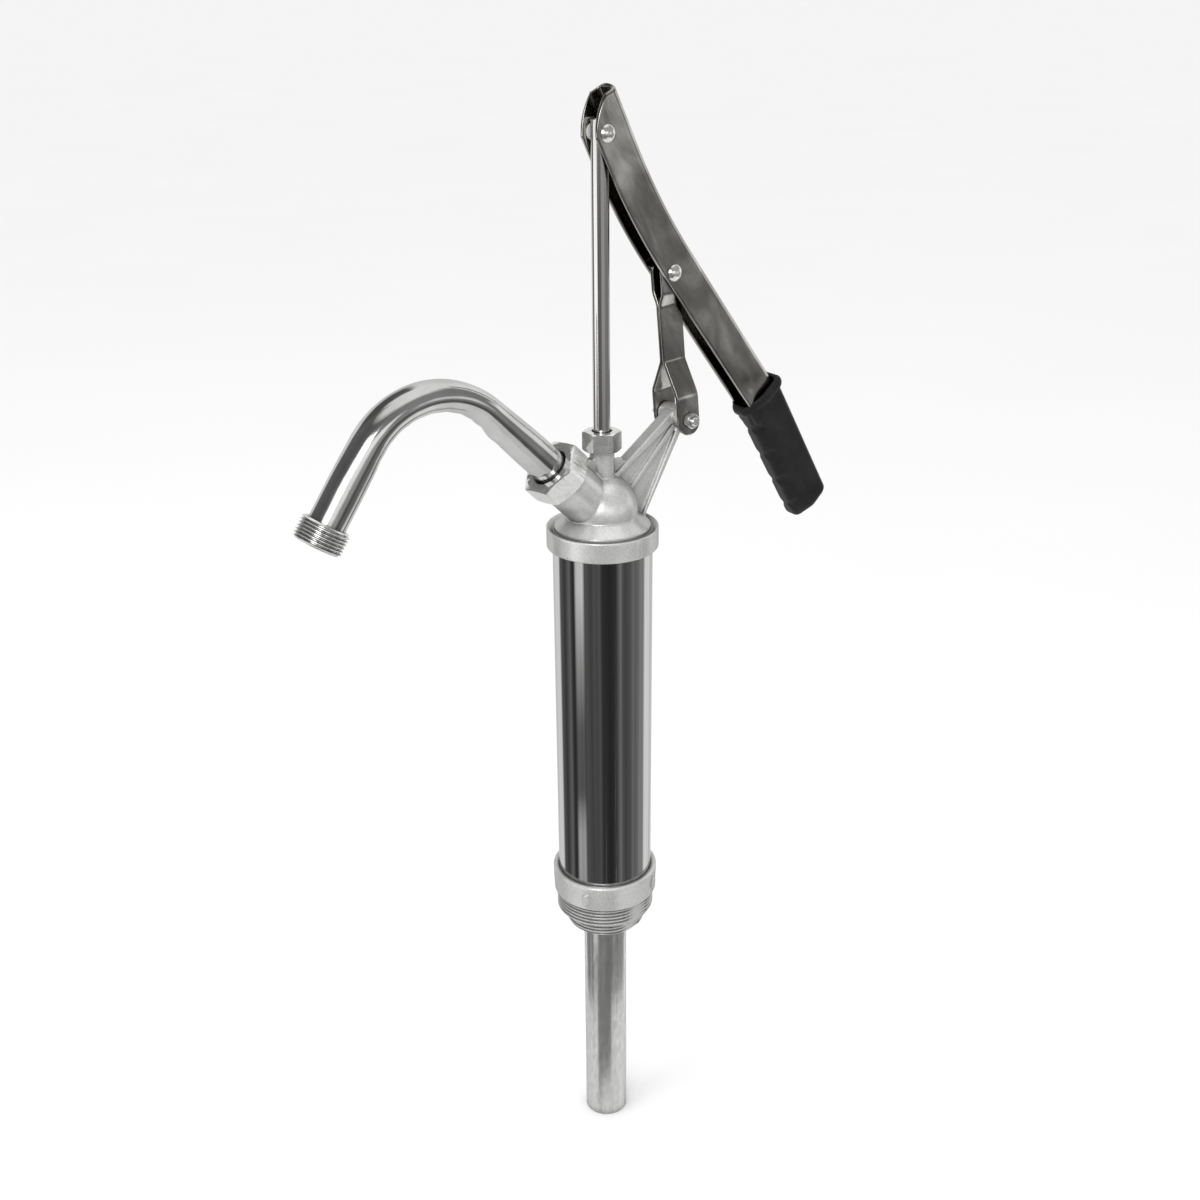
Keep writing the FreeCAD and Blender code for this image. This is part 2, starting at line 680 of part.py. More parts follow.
def outlet_z(drop):
    """Z of the same point."""
    rise = "spout_bend_start * cos(spout_rise) - spout_bend_radius * sin(spout_rise)"
    end = "spout_rise + spout_bend_angle"
    return f"spout_axis_z + {rise} + spout_bend_radius * sin({end}) + ({drop}) * cos({end})"


# ---- rod and piston -----------------------------------------------------------------------

def rod_parts():
    top = "piston_z + piston_thickness"
    bottom = "piston_z - piston_washer_height - piston_nut_height - piston_stud_proud"
    rod = spin("rod_turned", [
        ("0", bottom), ("piston_stud_radius - 0.6", bottom), ("piston_stud_radius", f"{bottom} + 0.6"),
        ("piston_stud_radius", top), ("rod_radius", top), ("rod_radius", "rod_top_z - 0.6"),
        ("rod_radius - 0.6", "rod_top_z"), ("0", "rod_top_z")])
    eye = pin("rod_eye", "pivot_radius + pivot_play", "14", "0", "7", "rod_pin_z", "90", (1, 0, 0))
    keep(cut("piston_rod", rod, eye), "piston_rod")

    groove = "piston_radius - piston_groove_depth"
    low_land = "piston_z + piston_land"
    high_land = f"{top} - piston_land"
    plate = spin("piston_plate", [
        ("piston_stud_radius", "piston_z"), ("piston_radius", "piston_z"), ("piston_radius", low_land),
        (groove, low_land), (groove, high_land), ("piston_radius", high_land), ("piston_radius", top),
        ("piston_stud_radius", top)])
    ports = ring_of_pins("piston_port", 6, "piston_port_radius", "piston_port_circle", "piston_z",
                         "piston_thickness + 1")
    keep(cut("piston_body", plate, join("piston_ports", *ports)), "piston_body")
    keep(ring("piston_seal_ring", f"{groove} + 0.1", "barrel_radius - barrel_wall - 0.05",
              f"{low_land} + 0.1", f"{high_land} - 0.1"), "piston_seal_ring")
    washer = "piston_z - piston_washer_height"
    keep(ring("piston_washer", "piston_stud_radius + 0.1", "piston_washer_radius", washer, "piston_z"),
         "piston_washer")
    nut = f"{washer} - piston_nut_height"
    blank = hexagon("piston_lock", "piston_nut_flats", nut, washer, "0")
    hole = pin("piston_nut_hole", "piston_stud_radius", "piston_nut_height + 2", z=f"{nut} - 1")
    keep(cut("piston_nut", blank, hole), "piston_nut")
    disc_top = f"{top} + piston_disc_height"
    keep(ring("piston_valve_disc", "rod_radius + 0.07", "piston_disc_radius", top, disc_top),
         "piston_valve_disc")
    stop = f"{disc_top} + piston_lift + 0.2"
    keep(ring("piston_valve_stop", "rod_radius", "piston_stop_radius", stop,
              f"{stop} + piston_disc_height"), "piston_valve_stop")


# ---- lever --------------------------------------------------------------------------------

def lever_edge(inset, nose_reach):
    """The lever's top edge from nose to heel, moved inward by inset, as outline corners."""
    nose = "lever_nose_slope"
    tail = "lever_tail_slope"
    bend = f"(lever_bend_radius + {inset})"
    heel = f"(lever_heel_radius - {inset})"
    first_x = f"lever_bend_x - {inset} * sin({nose})"
    first_z = f"lever_bend_z - {inset} * cos({nose})"
    second_x = f"{first_x} + {bend} * (sin({nose}) + sin({tail}))"
    second_z = f"{first_z} + {bend} * (cos({nose}) - cos({tail}))"
    third_x = f"{second_x} + lever_tail_length * cos({tail})"
    third_z = f"{second_z} + lever_tail_length * sin({tail})"
    fourth_x = f"{third_x} + {heel} * sin({tail})"
    fourth_z = f"{third_z} + {heel} * (1 - cos({tail}))"
    return [
        (f"{first_x} - ({nose_reach}) * cos({nose})", f"{first_z} + ({nose_reach}) * sin({nose})"),
        (first_x, first_z, f"-{bend}"),
        (second_x, second_z),
        (third_x, third_z, heel),
        (fourth_x, fourth_z),
        (f"{fourth_x} + lever_heel_length", fourth_z),
    ]


def flipped(corners):
    """The same edge travelled the other way, so that each arc starts at its other end."""
    points = [corner[:2] for corner in corners]
    radii = [corner[2] if len(corner) > 2 else None for corner in corners]
    result = []
    for i in range(len(points) - 1, -1, -1):
        radius = radii[i - 1] if i > 0 else None
        if radius:
            radius = radius[1:] if radius.startswith("-") else "-" + radius
            result.append((*points[i], radius))
        else:
            result.append(points[i])
    return result


def lever_solid(name):
    """The lever's outer form, before the channel is opened, in its own drawing frame."""
    top = lever_edge("0", "lever_nose_reach")
    low = lever_edge("lever_depth", "lever_nose_low_reach")
    heel_x, heel_z = low[4]
    tail_z = f"{heel_z} + lever_tail_rise"
    low[5:] = [(f"{heel_x} + lever_tail_rise", tail_z), (low[5][0], tail_z)]
    nose = [(*low[0], "lever_nose_radius"), ("lever_nose_front_x", "lever_nose_front_z"),
            (top[0][0], "lever_nose_front_z + 0.5")]
    profile = slab(name + "_profile", flipped(low)[:-1] + nose + top, "lever_width")
    half = "lever_width / 2"
    plan = slab(name + "_plan", [
        ("lever_nose_front_x", half), ("lever_reach", half), ("lever_reach", f"-{half}"),
        ("lever_nose_front_x", f"-{half}", "lever_nose_plan_radius")], "200", "XY_Plane")
    return common(name, profile, plan)


def on_lever(feature):
    return place(feature, z="rod_pin_z", tilt="lever_droop")


def lever_parts():
    solid = lever_solid("lever_outside")
    ceiling = lever_edge("lever_sheet", "40")
    inside = slab("lever_inside", [("-30", "-40")] + ceiling + [("240", "-40")],
                  "lever_width - 2 * lever_sheet")
    holes = [pin(f"lever_hole_{i}", "pivot_radius", "lever_width + 2",
                 along, "lever_width / 2 + 1", "0", "90", (1, 0, 0))
             for i, along in enumerate(("0", "lever_pin_span"))]
    channel = cut("lever_channel", solid, join("lever_voids", inside, *holes))
    keep(on_lever(channel), "lever_channel")

    head = "lever_width / 2"
    cap = "(rivet_head_radius * rivet_head_radius + rivet_head_height * rivet_head_height)" \
          " / (2 * rivet_head_height)"
    rivet = spin("rod_pin", [
        ("0", f"-{head} - rivet_head_height", f"-{cap}"), ("rivet_head_radius", f"-{head}"),
        ("pivot_radius", f"-{head}"), ("pivot_radius", head), ("rivet_head_radius", head, f"-{cap}"),
        ("0", f"{head} + rivet_head_height")])
    keep(place(rivet, z="rod_pin_z", tilt="90", axis=(1, 0, 0)), "rod_pin")
    spacers = [ring(f"rod_spacer_{i}", "pivot_radius + pivot_play", "4.4", low, high)
               for i, (low, high) in enumerate((("4.8", "5.9"), ("-5.9", "-4.8")))]
    keep(place(group("rod_pin_spacers", *spacers), z="rod_pin_z", tilt="90", axis=(1, 0, 0)),
         "rod_pin_spacers")

    wall = "lever_width / 2 - lever_sheet"
    studs = [
        spin("link_stud_near", [
            ("0", wall), ("pivot_radius", wall), ("pivot_radius", head), ("rivet_head_radius", head,
             f"-{cap}"), ("0", f"{head} + rivet_head_height")]),
        spin("link_stud_far", [
            ("0", f"-{head} - rivet_head_height", f"-{cap}"), ("rivet_head_radius", f"-{head}"),
            ("pivot_radius", f"-{head}"), ("pivot_radius", f"-({wall})"), ("0", f"-({wall})")])]
    keep(place(group("link_pin_ends", *studs), "lever_pin_span * cos(lever_droop)", "0",
               "rod_pin_z - lever_pin_span * sin(lever_droop)", "90", (1, 0, 0)), "link_pin_ends")


def rounded_box(name, width, depth, low, high, radius):
    """A bar along X with rounded long edges and leaning ends, centred on the grip's axis."""
    half = f"({width}) / 2"
    rise = f"({depth}) / 2"
    middle = "grip_middle_z"
    body = new_body(name)
    sketch = new_sketch(body, "YZ_Plane", name + "_section")
    arc = f"-({radius})"
    draw(sketch, [
        (f"-{half} + {radius}", f"{middle} - {rise}"), (f"{half} - {radius}", f"{middle} - {rise}", arc),
        (half, f"{middle} - {rise} + {radius}"), (half, f"{middle} + {rise} - {radius}", arc),
        (f"{half} - {radius}", f"{middle} + {rise}"), (f"-{half} + {radius}", f"{middle} + {rise}", arc),
        (f"-{half}", f"{middle} + {rise} - {radius}"), (f"-{half}", f"{middle} - {rise} + {radius}", arc)])
    lean = "grip_depth * grip_cant"
    first = f"{low} - {lean}"
    sketch.AttachmentOffset = FreeCAD.Placement(FreeCAD.Vector(0, 0, size(first)), FreeCAD.Rotation())
    sketch.setExpression("AttachmentOffset.Base.z", bound(first))
    pad = body.newObject("PartDesign::Pad", name + "_pad")
    pad.Profile = sketch
    pad.setExpression("Length", bound(f"({high}) - ({low}) + 2 * {lean}"))
    doc.recompute()
    ends = slab(name + "_ends", [
        (f"{low} + {lean}", f"{middle} - grip_depth"), (f"{high} + {lean}", f"{middle} - grip_depth"),
        (f"{high} - {lean}", f"{middle} + grip_depth"), (f"{low} - {lean}", f"{middle} + grip_depth")],
        "2 * grip_width")
    return common(name + "_leaning", body, ends)


def lever_grip():
    sleeve = rounded_box("grip_sleeve", "grip_width", "grip_depth", "grip_start", "grip_end - 4",
                         "grip_corner")
    cap = rounded_box("grip_cap", "grip_width - 5", "grip_depth - 5", "grip_end - 5", "grip_end", "8")
    rim = rounded_box("grip_rim_ring", "grip_width + 2 * grip_rim_height",
                      "grip_depth + 2 * grip_rim_height", "grip_start - 1", "grip_start - 1 + grip_rim",
                      "12")
    mouth = rounded_box("grip_mouth", "lever_width + 2 * grip_mouth_gap",
                        "lever_depth + 2 * grip_mouth_gap", "grip_start - 2", "grip_start + 6",
                        "grip_mouth_corner")
    core = lever_solid("grip_core")
    body = cut("lever_grip", join("grip_outside", sleeve, cap, rim), join("grip_voids", core, mouth))
    keep(on_lever(body), "lever_grip")


# ---- link and fulcrum ---------------------------------------------------------------------

def link_plate(name, way):
    """One joggled plate of the link; way is -1 for the -Y plate and 1 for the +Y plate."""
    outer = [("link_fork / 2", "-9 - link_foot_drop"), ("link_fork / 2", "14"), ("link_sheet", "32.2"),
             ("link_sheet", "64.7"), ("link_head / 2", "71"), ("link_head / 2", "92")]
    inner = [(f"{y} - link_sheet", z) for y, z in reversed(outer)]
    strip = slab(name + "_strip", [(f"{way} * ({y})", z) for y, z in outer + inner],
                 "link_width + 4", "YZ_Plane")
    half = "link_width / 2"
    face = slab(name + "_face", [
        (f"-{half}", "-link_foot_drop", f"-{half}"), ("0", f"-{half} - link_foot_drop", f"-{half}"),
        (half, "-link_foot_drop"),
        (half, "link_length + 1"),
        (f"{half} - 3.5", "link_length + 5"), (f"-{half} + 3.5", "link_length + 5"),
        (f"-{half}", "link_length + 1")], "link_fork + 4")
    plate = common(name + "_blank", strip, face)
    holes = [pin(f"{name}_hole_{i}", radius, "link_fork + 4", "0", "link_fork / 2 + 2", height, "90",
                 (1, 0, 0))
             for i, (radius, height) in enumerate((
                 ("fulcrum_bolt_radius", "0"), ("pivot_radius + pivot_play", "link_length")))]
    body = cut(name, plate, join(name + "_holes", *holes))
    keep(place(body, "fulcrum_x", "0", "fulcrum_z", "-link_lean"), name)


def fulcrum_fasteners():
    face = "link_fork / 2"
    end = f"{face} + fulcrum_nut_height + fulcrum_bolt_proud"
    head = hexagon("fulcrum_head", "fulcrum_flats", f"-{face} - fulcrum_head_height", f"-{face}", "10")
    shank = spin("fulcrum_shank", [
        ("0", f"-{face} - 1"), ("fulcrum_bolt_radius", f"-{face} - 1"),
        ("fulcrum_bolt_radius", f"{end} - 0.7"), ("fulcrum_bolt_radius - 0.7", end), ("0", end)])
    bolt = join("fulcrum_bolt", head, shank)
    keep(place(bolt, "fulcrum_x", "0", "fulcrum_z", "90", (1, 0, 0)), "fulcrum_bolt")
    blank = hexagon("fulcrum_lock", "fulcrum_flats", face, f"{face} + fulcrum_nut_height", "20")
    hole = pin("fulcrum_nut_hole", "fulcrum_bolt_radius", "fulcrum_nut_height + 2", z=f"{face} - 1")
    keep(place(cut("fulcrum_nut", blank, hole), "fulcrum_x", "0", "fulcrum_z", "90", (1, 0, 0)),
         "fulcrum_nut")


# ---- build, check and write ---------------------------------------------------------------

barrel_parts()
bung_adapter()
suction_pipe()
foot_valve()
head_casting()
gland_parts()
spout_parts()
rod_parts()
lever_parts()
lever_grip()
link_plate("link_plate_near", -1)
link_plate("link_plate_far", 1)
fulcrum_fasteners()
doc.recompute()

failed = [item.Name for item in doc.Objects if {"Invalid", "Error"} & set(item.State)]
if failed:
    raise RuntimeError("failed objects: " + ", ".join(failed))
os.makedirs("parts", exist_ok=True)
for part in sub_parts:
    if part.Shape.isNull() or not part.Shape.isValid() or part.Shape.Volume <= 0:
        raise RuntimeError("bad shape: " + part.Label)
for part in sub_parts:
    part.Shape.exportStep(f"parts/{part.Label}.step")
    print(part.Label, len(part.Shape.Solids), round(part.Shape.Volume), part.Shape.BoundBox)
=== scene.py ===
import json
import math

import bmesh
import bpy
import numpy as np
from mathutils import Matrix, Vector


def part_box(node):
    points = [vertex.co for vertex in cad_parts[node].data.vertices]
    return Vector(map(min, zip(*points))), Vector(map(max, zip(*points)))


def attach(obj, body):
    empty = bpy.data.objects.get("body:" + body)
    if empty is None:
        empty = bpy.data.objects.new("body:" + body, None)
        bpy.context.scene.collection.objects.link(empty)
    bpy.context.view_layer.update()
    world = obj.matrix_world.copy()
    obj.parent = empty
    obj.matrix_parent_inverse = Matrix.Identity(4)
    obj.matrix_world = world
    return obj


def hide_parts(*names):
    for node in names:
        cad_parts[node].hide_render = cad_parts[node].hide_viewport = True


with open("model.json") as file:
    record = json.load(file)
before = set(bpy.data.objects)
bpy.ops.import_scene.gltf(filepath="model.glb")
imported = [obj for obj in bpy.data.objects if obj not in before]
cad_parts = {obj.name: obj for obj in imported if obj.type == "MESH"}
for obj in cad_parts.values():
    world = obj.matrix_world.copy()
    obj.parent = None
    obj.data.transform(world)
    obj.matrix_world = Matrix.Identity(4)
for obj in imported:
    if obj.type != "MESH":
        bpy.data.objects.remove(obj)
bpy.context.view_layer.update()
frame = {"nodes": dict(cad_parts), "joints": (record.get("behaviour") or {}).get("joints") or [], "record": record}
MM = 0.001
LEVER_TILT = math.radians(60)


def pivot_of(joint):
    """A joint's place in the row frame in millimetres."""
    found = next(entry for entry in frame["joints"] if entry["name"] == joint)
    return tuple(value / MM for value in found["pos_m"])


# ---- view --------------------------------------------------------------------------------

# The camera looks down by VIEW_PITCH, from VIEW_TURN left of the pump's side, in metres
VIEW_PITCH = math.radians(23.0)
VIEW_TURN = math.radians(33.5)
VIEW_ROLL = math.radians(0.45)
VIEW_DISTANCE = 0.781
VIEW_HEIGHT = 0.5243
VIEW_SHIFT = -0.00173
LENS = 44.13
SENSOR_WIDTH = 36
UP = Vector((0, 0, 1))
TOWARD = Vector((-math.sin(VIEW_TURN), -math.cos(VIEW_TURN), 0))
RIGHT = Vector((math.cos(VIEW_TURN), -math.sin(VIEW_TURN), 0))


def set_camera():
    look = -TOWARD * math.cos(VIEW_PITCH) - UP * math.sin(VIEW_PITCH)
    lift = -TOWARD * math.sin(VIEW_PITCH) + UP * math.cos(VIEW_PITCH)
    place = TOWARD * VIEW_DISTANCE + RIGHT * VIEW_SHIFT + UP * VIEW_HEIGHT
    across = RIGHT * math.cos(VIEW_ROLL) - lift * math.sin(VIEW_ROLL)
    above = RIGHT * math.sin(VIEW_ROLL) + lift * math.cos(VIEW_ROLL)
    camera = bpy.data.objects.new("camera", bpy.data.cameras.new("camera"))
    camera.data.lens = LENS
    camera.data.sensor_width = SENSOR_WIDTH
    camera.data.clip_start = 0.02
    camera.data.clip_end = 400
    turn = Matrix((across, above, -look)).transposed().to_4x4()
    camera.matrix_world = Matrix.Translation(place) @ turn
    bpy.context.scene.collection.objects.link(camera)
    bpy.context.scene.camera = camera


# ---- shader building ---------------------------------------------------------------------

# How much of its light bare metal still mirrors where it is seen edge on
EDGE_TINT = 0.72
# Openness and facing ranges over which painted shade deepens in corners and towards edges seen edge on
CORNER_OPENNESS = (0.25, 0.92)
GRAZING_FACING = (0.2, 0.95)


def grey(tone):
    return (tone, tone, tone, 1)


class Graph:
    """Short names for making and wiring shader nodes."""

    def __init__(self, tree):
        self.tree = tree
        tree.nodes.clear()

    def node(self, kind, inputs=None, **settings):
        made = self.tree.nodes.new(kind)
        for key, value in settings.items():
            setattr(made, key, value)
        for key, value in (inputs or {}).items():
            self.feed(made.inputs[key], value)
        return made

    def feed(self, socket, value):
        if isinstance(value, bpy.types.NodeSocket):
            self.tree.links.new(value, socket)
        else:
            socket.default_value = value

    def math(self, operation, a, b=0.0, clamp=False):
        made = self.node("ShaderNodeMath", {0: a, 1: b}, operation=operation, use_clamp=clamp)
        return made.outputs[0]

    def dot(self, vector, fixed):
        made = self.node("ShaderNodeVectorMath", {0: vector, 1: tuple(fixed)}, operation="DOT_PRODUCT")
        return made.outputs["Value"]

    def ramp(self, factor, stops, interpolation="LINEAR"):
        """A colour ramp through (place, grey or colour) stops."""
        made = self.node("ShaderNodeValToRGB", {0: factor})
        made.color_ramp.interpolation = interpolation
        elements = made.color_ramp.elements
        while len(elements) > 1:
            elements.remove(elements[-1])
        for i, (place, tone) in enumerate(stops):
            element = elements[0] if i == 0 else elements.new(place)
            element.position = place
            rgb = tone if isinstance(tone, tuple) else (tone, tone, tone)
            element.color = (*rgb, 1)
        return made.outputs["Color"]

    def mix(self, factor, a, b, blend="MIX"):
        made = self.node("ShaderNodeMix", data_type="RGBA", blend_type=blend)
        self.feed(made.inputs[0], factor)
        self.feed(made.inputs[6], a)
        self.feed(made.inputs[7], b)
        return made.outputs[2]

    def span(self, value, low, high, to_low=0.0, to_high=1.0):
        made = self.node("ShaderNodeMapRange", {
            "Value": value, "From Min": low, "From Max": high, "To Min": to_low, "To Max": to_high})
        return made.outputs["Result"]

    def noise(self, where, scale, detail=3.0, stretch=None, warp=0.0):
        """Noise of a scale in features per metre; stretch scales each axis on top of it."""
        if stretch:
            where = self.node("ShaderNodeMapping", {"Vector": where, "Scale": stretch}).outputs[0]
        return self.node("ShaderNodeTexNoise", {
            "Vector": where, "Scale": scale, "Detail": detail, "Distortion": warp}).outputs[0]

    def bump(self, height, strength, distance, under=None):
        inputs = {"Height": height, "Strength": strength, "Distance": distance}
        if under:
            inputs["Normal"] = under
        return self.node("ShaderNodeBump", inputs).outputs[0]

    def openness(self, reach):
        """1 on open faces, less in corners and grooves narrower than reach (metres)."""
        made = self.node("ShaderNodeAmbientOcclusion", {"Distance": reach}, samples=6)
        return made.outputs["AO"]

    def edge_on(self):
        """0 where the surface faces the eye, 1 where it is seen edge on."""
        return self.node("ShaderNodeLayerWeight", {"Blend": 0.5}).outputs["Facing"]

    def painted_shade(self, tone, reach, deepest, grazing=1.0):
        """Painted shade: the tone darkened towards a fraction of itself in corners and, if asked, edge on."""
        corner = self.span(self.openness(reach), *CORNER_OPENNESS, deepest, 1.0)
        edge = self.span(self.edge_on(), *GRAZING_FACING, 1.0, grazing)
        fraction = self.math("MULTIPLY", corner, edge)
        return self.mix(1.0, tone, fraction, "MULTIPLY")

    def metal(self, tone, roughness, normal, metallic=1.0, **more):
        inputs = {"Base Color": tone, "Metallic": metallic, "Roughness": roughness, "Normal": normal}
        inputs["Specular Tint"] = grey(EDGE_TINT)
        inputs.update(more)
        return self.node("ShaderNodeBsdfPrincipled", inputs)


# ---- studio ------------------------------------------------------------------------------

FLOOR_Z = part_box("suction_pipe")[0].z
FLOOR_HALF = 120.0
# What polished metal mirrors, by azimuth in degrees from the camera: (azimuth, brightness).
# Low is the band just above the table's edge, mid the band above it, and down the table's near part.
LOW = (
    (-180, 0.95), (-124, 0.95), (-117, 0.12), (-100, 0.07), (-85, 0.16), (-78, 0.05), (-70, 0.04),
    (-46, 0.05), (-40, 0.12), (-26, 0.06), (-22, 0.10), (-8, 0.11), (-3, 0.04), (12, 0.03), (30, 0.04),
    (36, 0.14), (41, 0.24), (46, 0.12), (56, 0.09), (66, 0.12), (74, 0.22), (80, 0.13), (90, 0.18),
    (97, 0.30), (108, 0.34), (114, 0.95), (180, 0.95))
MID = (
    (-180, 0.95), (-128, 0.95), (-120, 0.14), (-60, 0.10), (-44, 0.12), (-5, 0.14), (5, 0.22),
    (60, 0.26), (100, 0.22), (112, 0.30), (119, 0.95), (180, 0.95))
DOWN = (
    (-180, 0.85), (-120, 0.80), (-70, 0.78), (-50, 0.74), (-44, 0.14), (-10, 0.08), (24, 0.10),
    (32, 0.66), (70, 0.82), (100, 0.92), (180, 0.92))
# The strip mirrored left of the barrel's middle, bright at its ends: (downward angle, brightness),
# within azimuths from and to and elevations from and to
STRIP = ((0, 0.95), (22.5, 0.85), (25.5, 0.42), (28, 0.16), (30.5, 0.14), (32, 0.6), (34, 0.9), (90, 0.9))
STRIP_SPAN = (-68, -46, -34, -16)
# Windows in the dark front of the room, one at its right and a dark panel at its back left:
# azimuths from and to, elevations from and to, brightness
PANELS = (
    (-42, -9, -3, 20, 1.0), (-28, -6, 18, 36, 1.3), (5, 40, -2, 17, 1.1), (55, 76, -5, 9, 0.8),
    (96, 124, -6, 16, 0.95), (-94, -42, -17, -3, 1.5), (8, 50, -17, -5, 0.40),
    (-164, -118, 22, 50, 0.10))
# Half the width in degrees of a patch's soft edge
SOFT = 3.0
# Elevations over which each band of the room gives way to the next, from and to
LOW_TO_MID = (-20, -14)
LOW_TO_DOWN = (-34, -37)
DOWN_TO_TABLE = (-50, -58)
MID_TO_CEILING = (52, 66)
TABLE, CEILING, AMBIENT = 0.80, 0.92, 0.95


def wall(g, degrees, stops):
    """Brightness round the room at one height, from (azimuth, brightness) stops."""
    return g.ramp(g.span(degrees, -180, 180), [((a + 180) / 360, tone) for a, tone in stops])


def window(g, azimuth, elevation, left, right, low, high):
    """1 inside a soft-edged patch of the room, 0 outside."""
    parts = (g.span(azimuth, left - SOFT, left + SOFT), g.span(azimuth, right + SOFT, right - SOFT),
             g.span(elevation, low - SOFT, low + SOFT), g.span(elevation, high + SOFT, high - SOFT))
    inside = parts[0]
    for part in parts[1:]:
        inside = g.math("MULTIPLY", inside, part)
    return inside


def build_world():
    world = bpy.data.worlds.new("studio")
    bpy.context.scene.world = world
    world.use_nodes = True
    g = Graph(world.node_tree)
    direction = g.node("ShaderNodeTexCoord").outputs["Generated"]
    turn = g.math("ARCTAN2", g.dot(direction, RIGHT), g.dot(direction, TOWARD))
    azimuth = g.math("MULTIPLY", turn, math.degrees(1))
    rise = g.math("ARCSINE", g.dot(direction, UP))
    elevation = g.math("MULTIPLY", rise, math.degrees(1))
    room = g.mix(g.span(elevation, *LOW_TO_MID), wall(g, azimuth, LOW), wall(g, azimuth, MID))
    strip = g.ramp(g.span(elevation, 0, -90), [(down / 90, tone) for down, tone in STRIP])
    room = g.mix(window(g, azimuth, elevation, *STRIP_SPAN), room, strip)
    for *edges, tone in PANELS:
        room = g.mix(window(g, azimuth, elevation, *edges), room, grey(tone))
    room = g.mix(g.span(elevation, *LOW_TO_DOWN), room, wall(g, azimuth, DOWN))
    room = g.mix(g.span(elevation, *DOWN_TO_TABLE), room, grey(TABLE))
    room = g.mix(g.span(elevation, *MID_TO_CEILING), room, grey(CEILING))
    rays = g.node("ShaderNodeLightPath")
    soft = g.mix(rays.outputs["Is Glossy Ray"], grey(AMBIENT), room)
    seen = g.mix(rays.outputs["Is Camera Ray"], soft, grey(1))
    g.node("ShaderNodeOutputWorld", {
        0: g.node("ShaderNodeBackground", {"Color": seen, "Strength": 1.0}).outputs[0]})


def build_floor():
    mesh = bpy.data.meshes.new("floor")
    half = FLOOR_HALF
    mesh.from_pydata([(-half, -half, FLOOR_Z), (half, -half, FLOOR_Z), (half, half, FLOOR_Z),
                      (-half, half, FLOOR_Z)], [], [(0, 1, 2, 3)])
    floor = bpy.data.objects.new("floor", mesh)
    bpy.context.scene.collection.objects.link(floor)
    floor.visible_glossy = False
    paint = bpy.data.materials.new("floor_paper")
    paint.use_nodes = True
    g = Graph(paint.node_tree)
    where = g.node("ShaderNodeTexCoord").outputs["Object"]
    tone = g.ramp(g.noise(where, 3.0, 2.0), [(0.3, 0.955), (0.7, 0.965)])
    shader = g.node("ShaderNodeBsdfPrincipled", {
        "Base Color": tone, "Roughness": 0.9, "Specular IOR Level": 0.0})
    g.node("ShaderNodeOutputMaterial", {0: shader.outputs[0]})
    mesh.materials.append(paint)


LIGHT_TARGET = Vector((0, 0, 0.2))


def add_softbox(name, azimuth, elevation, distance, size, power):
    """A square soft light aimed at the pump, placed by its angles from the view direction."""
    data = bpy.data.lights.new(name, "AREA")
    data.shape = "SQUARE"
    data.size = size
    data.energy = power
    a, e = math.radians(azimuth), math.radians(elevation)
    way = (TOWARD * math.cos(a) + RIGHT * math.sin(a)) * math.cos(e) + UP * math.sin(e)
    light = bpy.data.objects.new(name, data)
    light.location = LIGHT_TARGET + way * distance
    light.rotation_euler = (-way).to_track_quat("-Z", "Y").to_euler()
    bpy.context.scene.collection.objects.link(light)
    return light


# ---- finishes ----------------------------------------------------------------------------

def finish_of(name, build):
    """A material whose node graph is made by build(graph, position), position in metres."""
    material = bpy.data.materials.new(name)
    material.use_nodes = True
    g = Graph(material.node_tree)
    where = g.node("ShaderNodeTexCoord").outputs["Object"]
    shader = build(g, where)
    g.node("ShaderNodeOutputMaterial", {0: shader.outputs[0]})
    return material


def drawn_chrome(g, where):
    """Mirror chrome over drawn tube: faint upright waves, hairline drawing marks and wiping haze."""
    waves = g.noise(where, 1.0, 2.0, stretch=(110, 110, 5))
    marks = g.noise(where, 1.0, 3.0, stretch=(1100, 1100, 3))
    bands = g.noise(where, 1.0, 2.0, stretch=(260, 260, 2))
    normal = g.bump(waves, 0.06, 0.0002)
    haze = g.span(g.noise(where, 90.0, 4.0), 0.35, 0.75, 0.015, 0.05)
    hairline = g.math("MULTIPLY", g.span(marks, 0.54, 0.66), g.span(bands, 0.45, 0.60))
    rough = g.math("ADD", haze, g.math("MULTIPLY", hairline, 0.22))
    tone = g.ramp(bands, [(0.35, (0.52, 0.515, 0.51)), (0.60, (0.70, 0.70, 0.70))])
    return g.metal(tone, rough, normal)


def bent_chrome(g, where):
    """Polished bent tube: orange peel and buffing, dulled a little in patches, with painted shade in corners."""
    normal = g.bump(g.noise(where, 60.0, 2.0, warp=0.4), 0.14, 0.0008)
    normal = g.bump(g.noise(where, 900.0, 2.0), 0.04, 0.0001, normal)
    rough = g.span(g.noise(where, 60.0, 4.0), 0.35, 0.75, 0.10, 0.19)
    tone = g.ramp(g.noise(where, 45.0, 5.0), [(0.3, (0.56, 0.56, 0.55)), (0.7, (0.72, 0.72, 0.715))])
    return g.metal(g.painted_shade(tone, 0.004, 0.35), rough, normal)


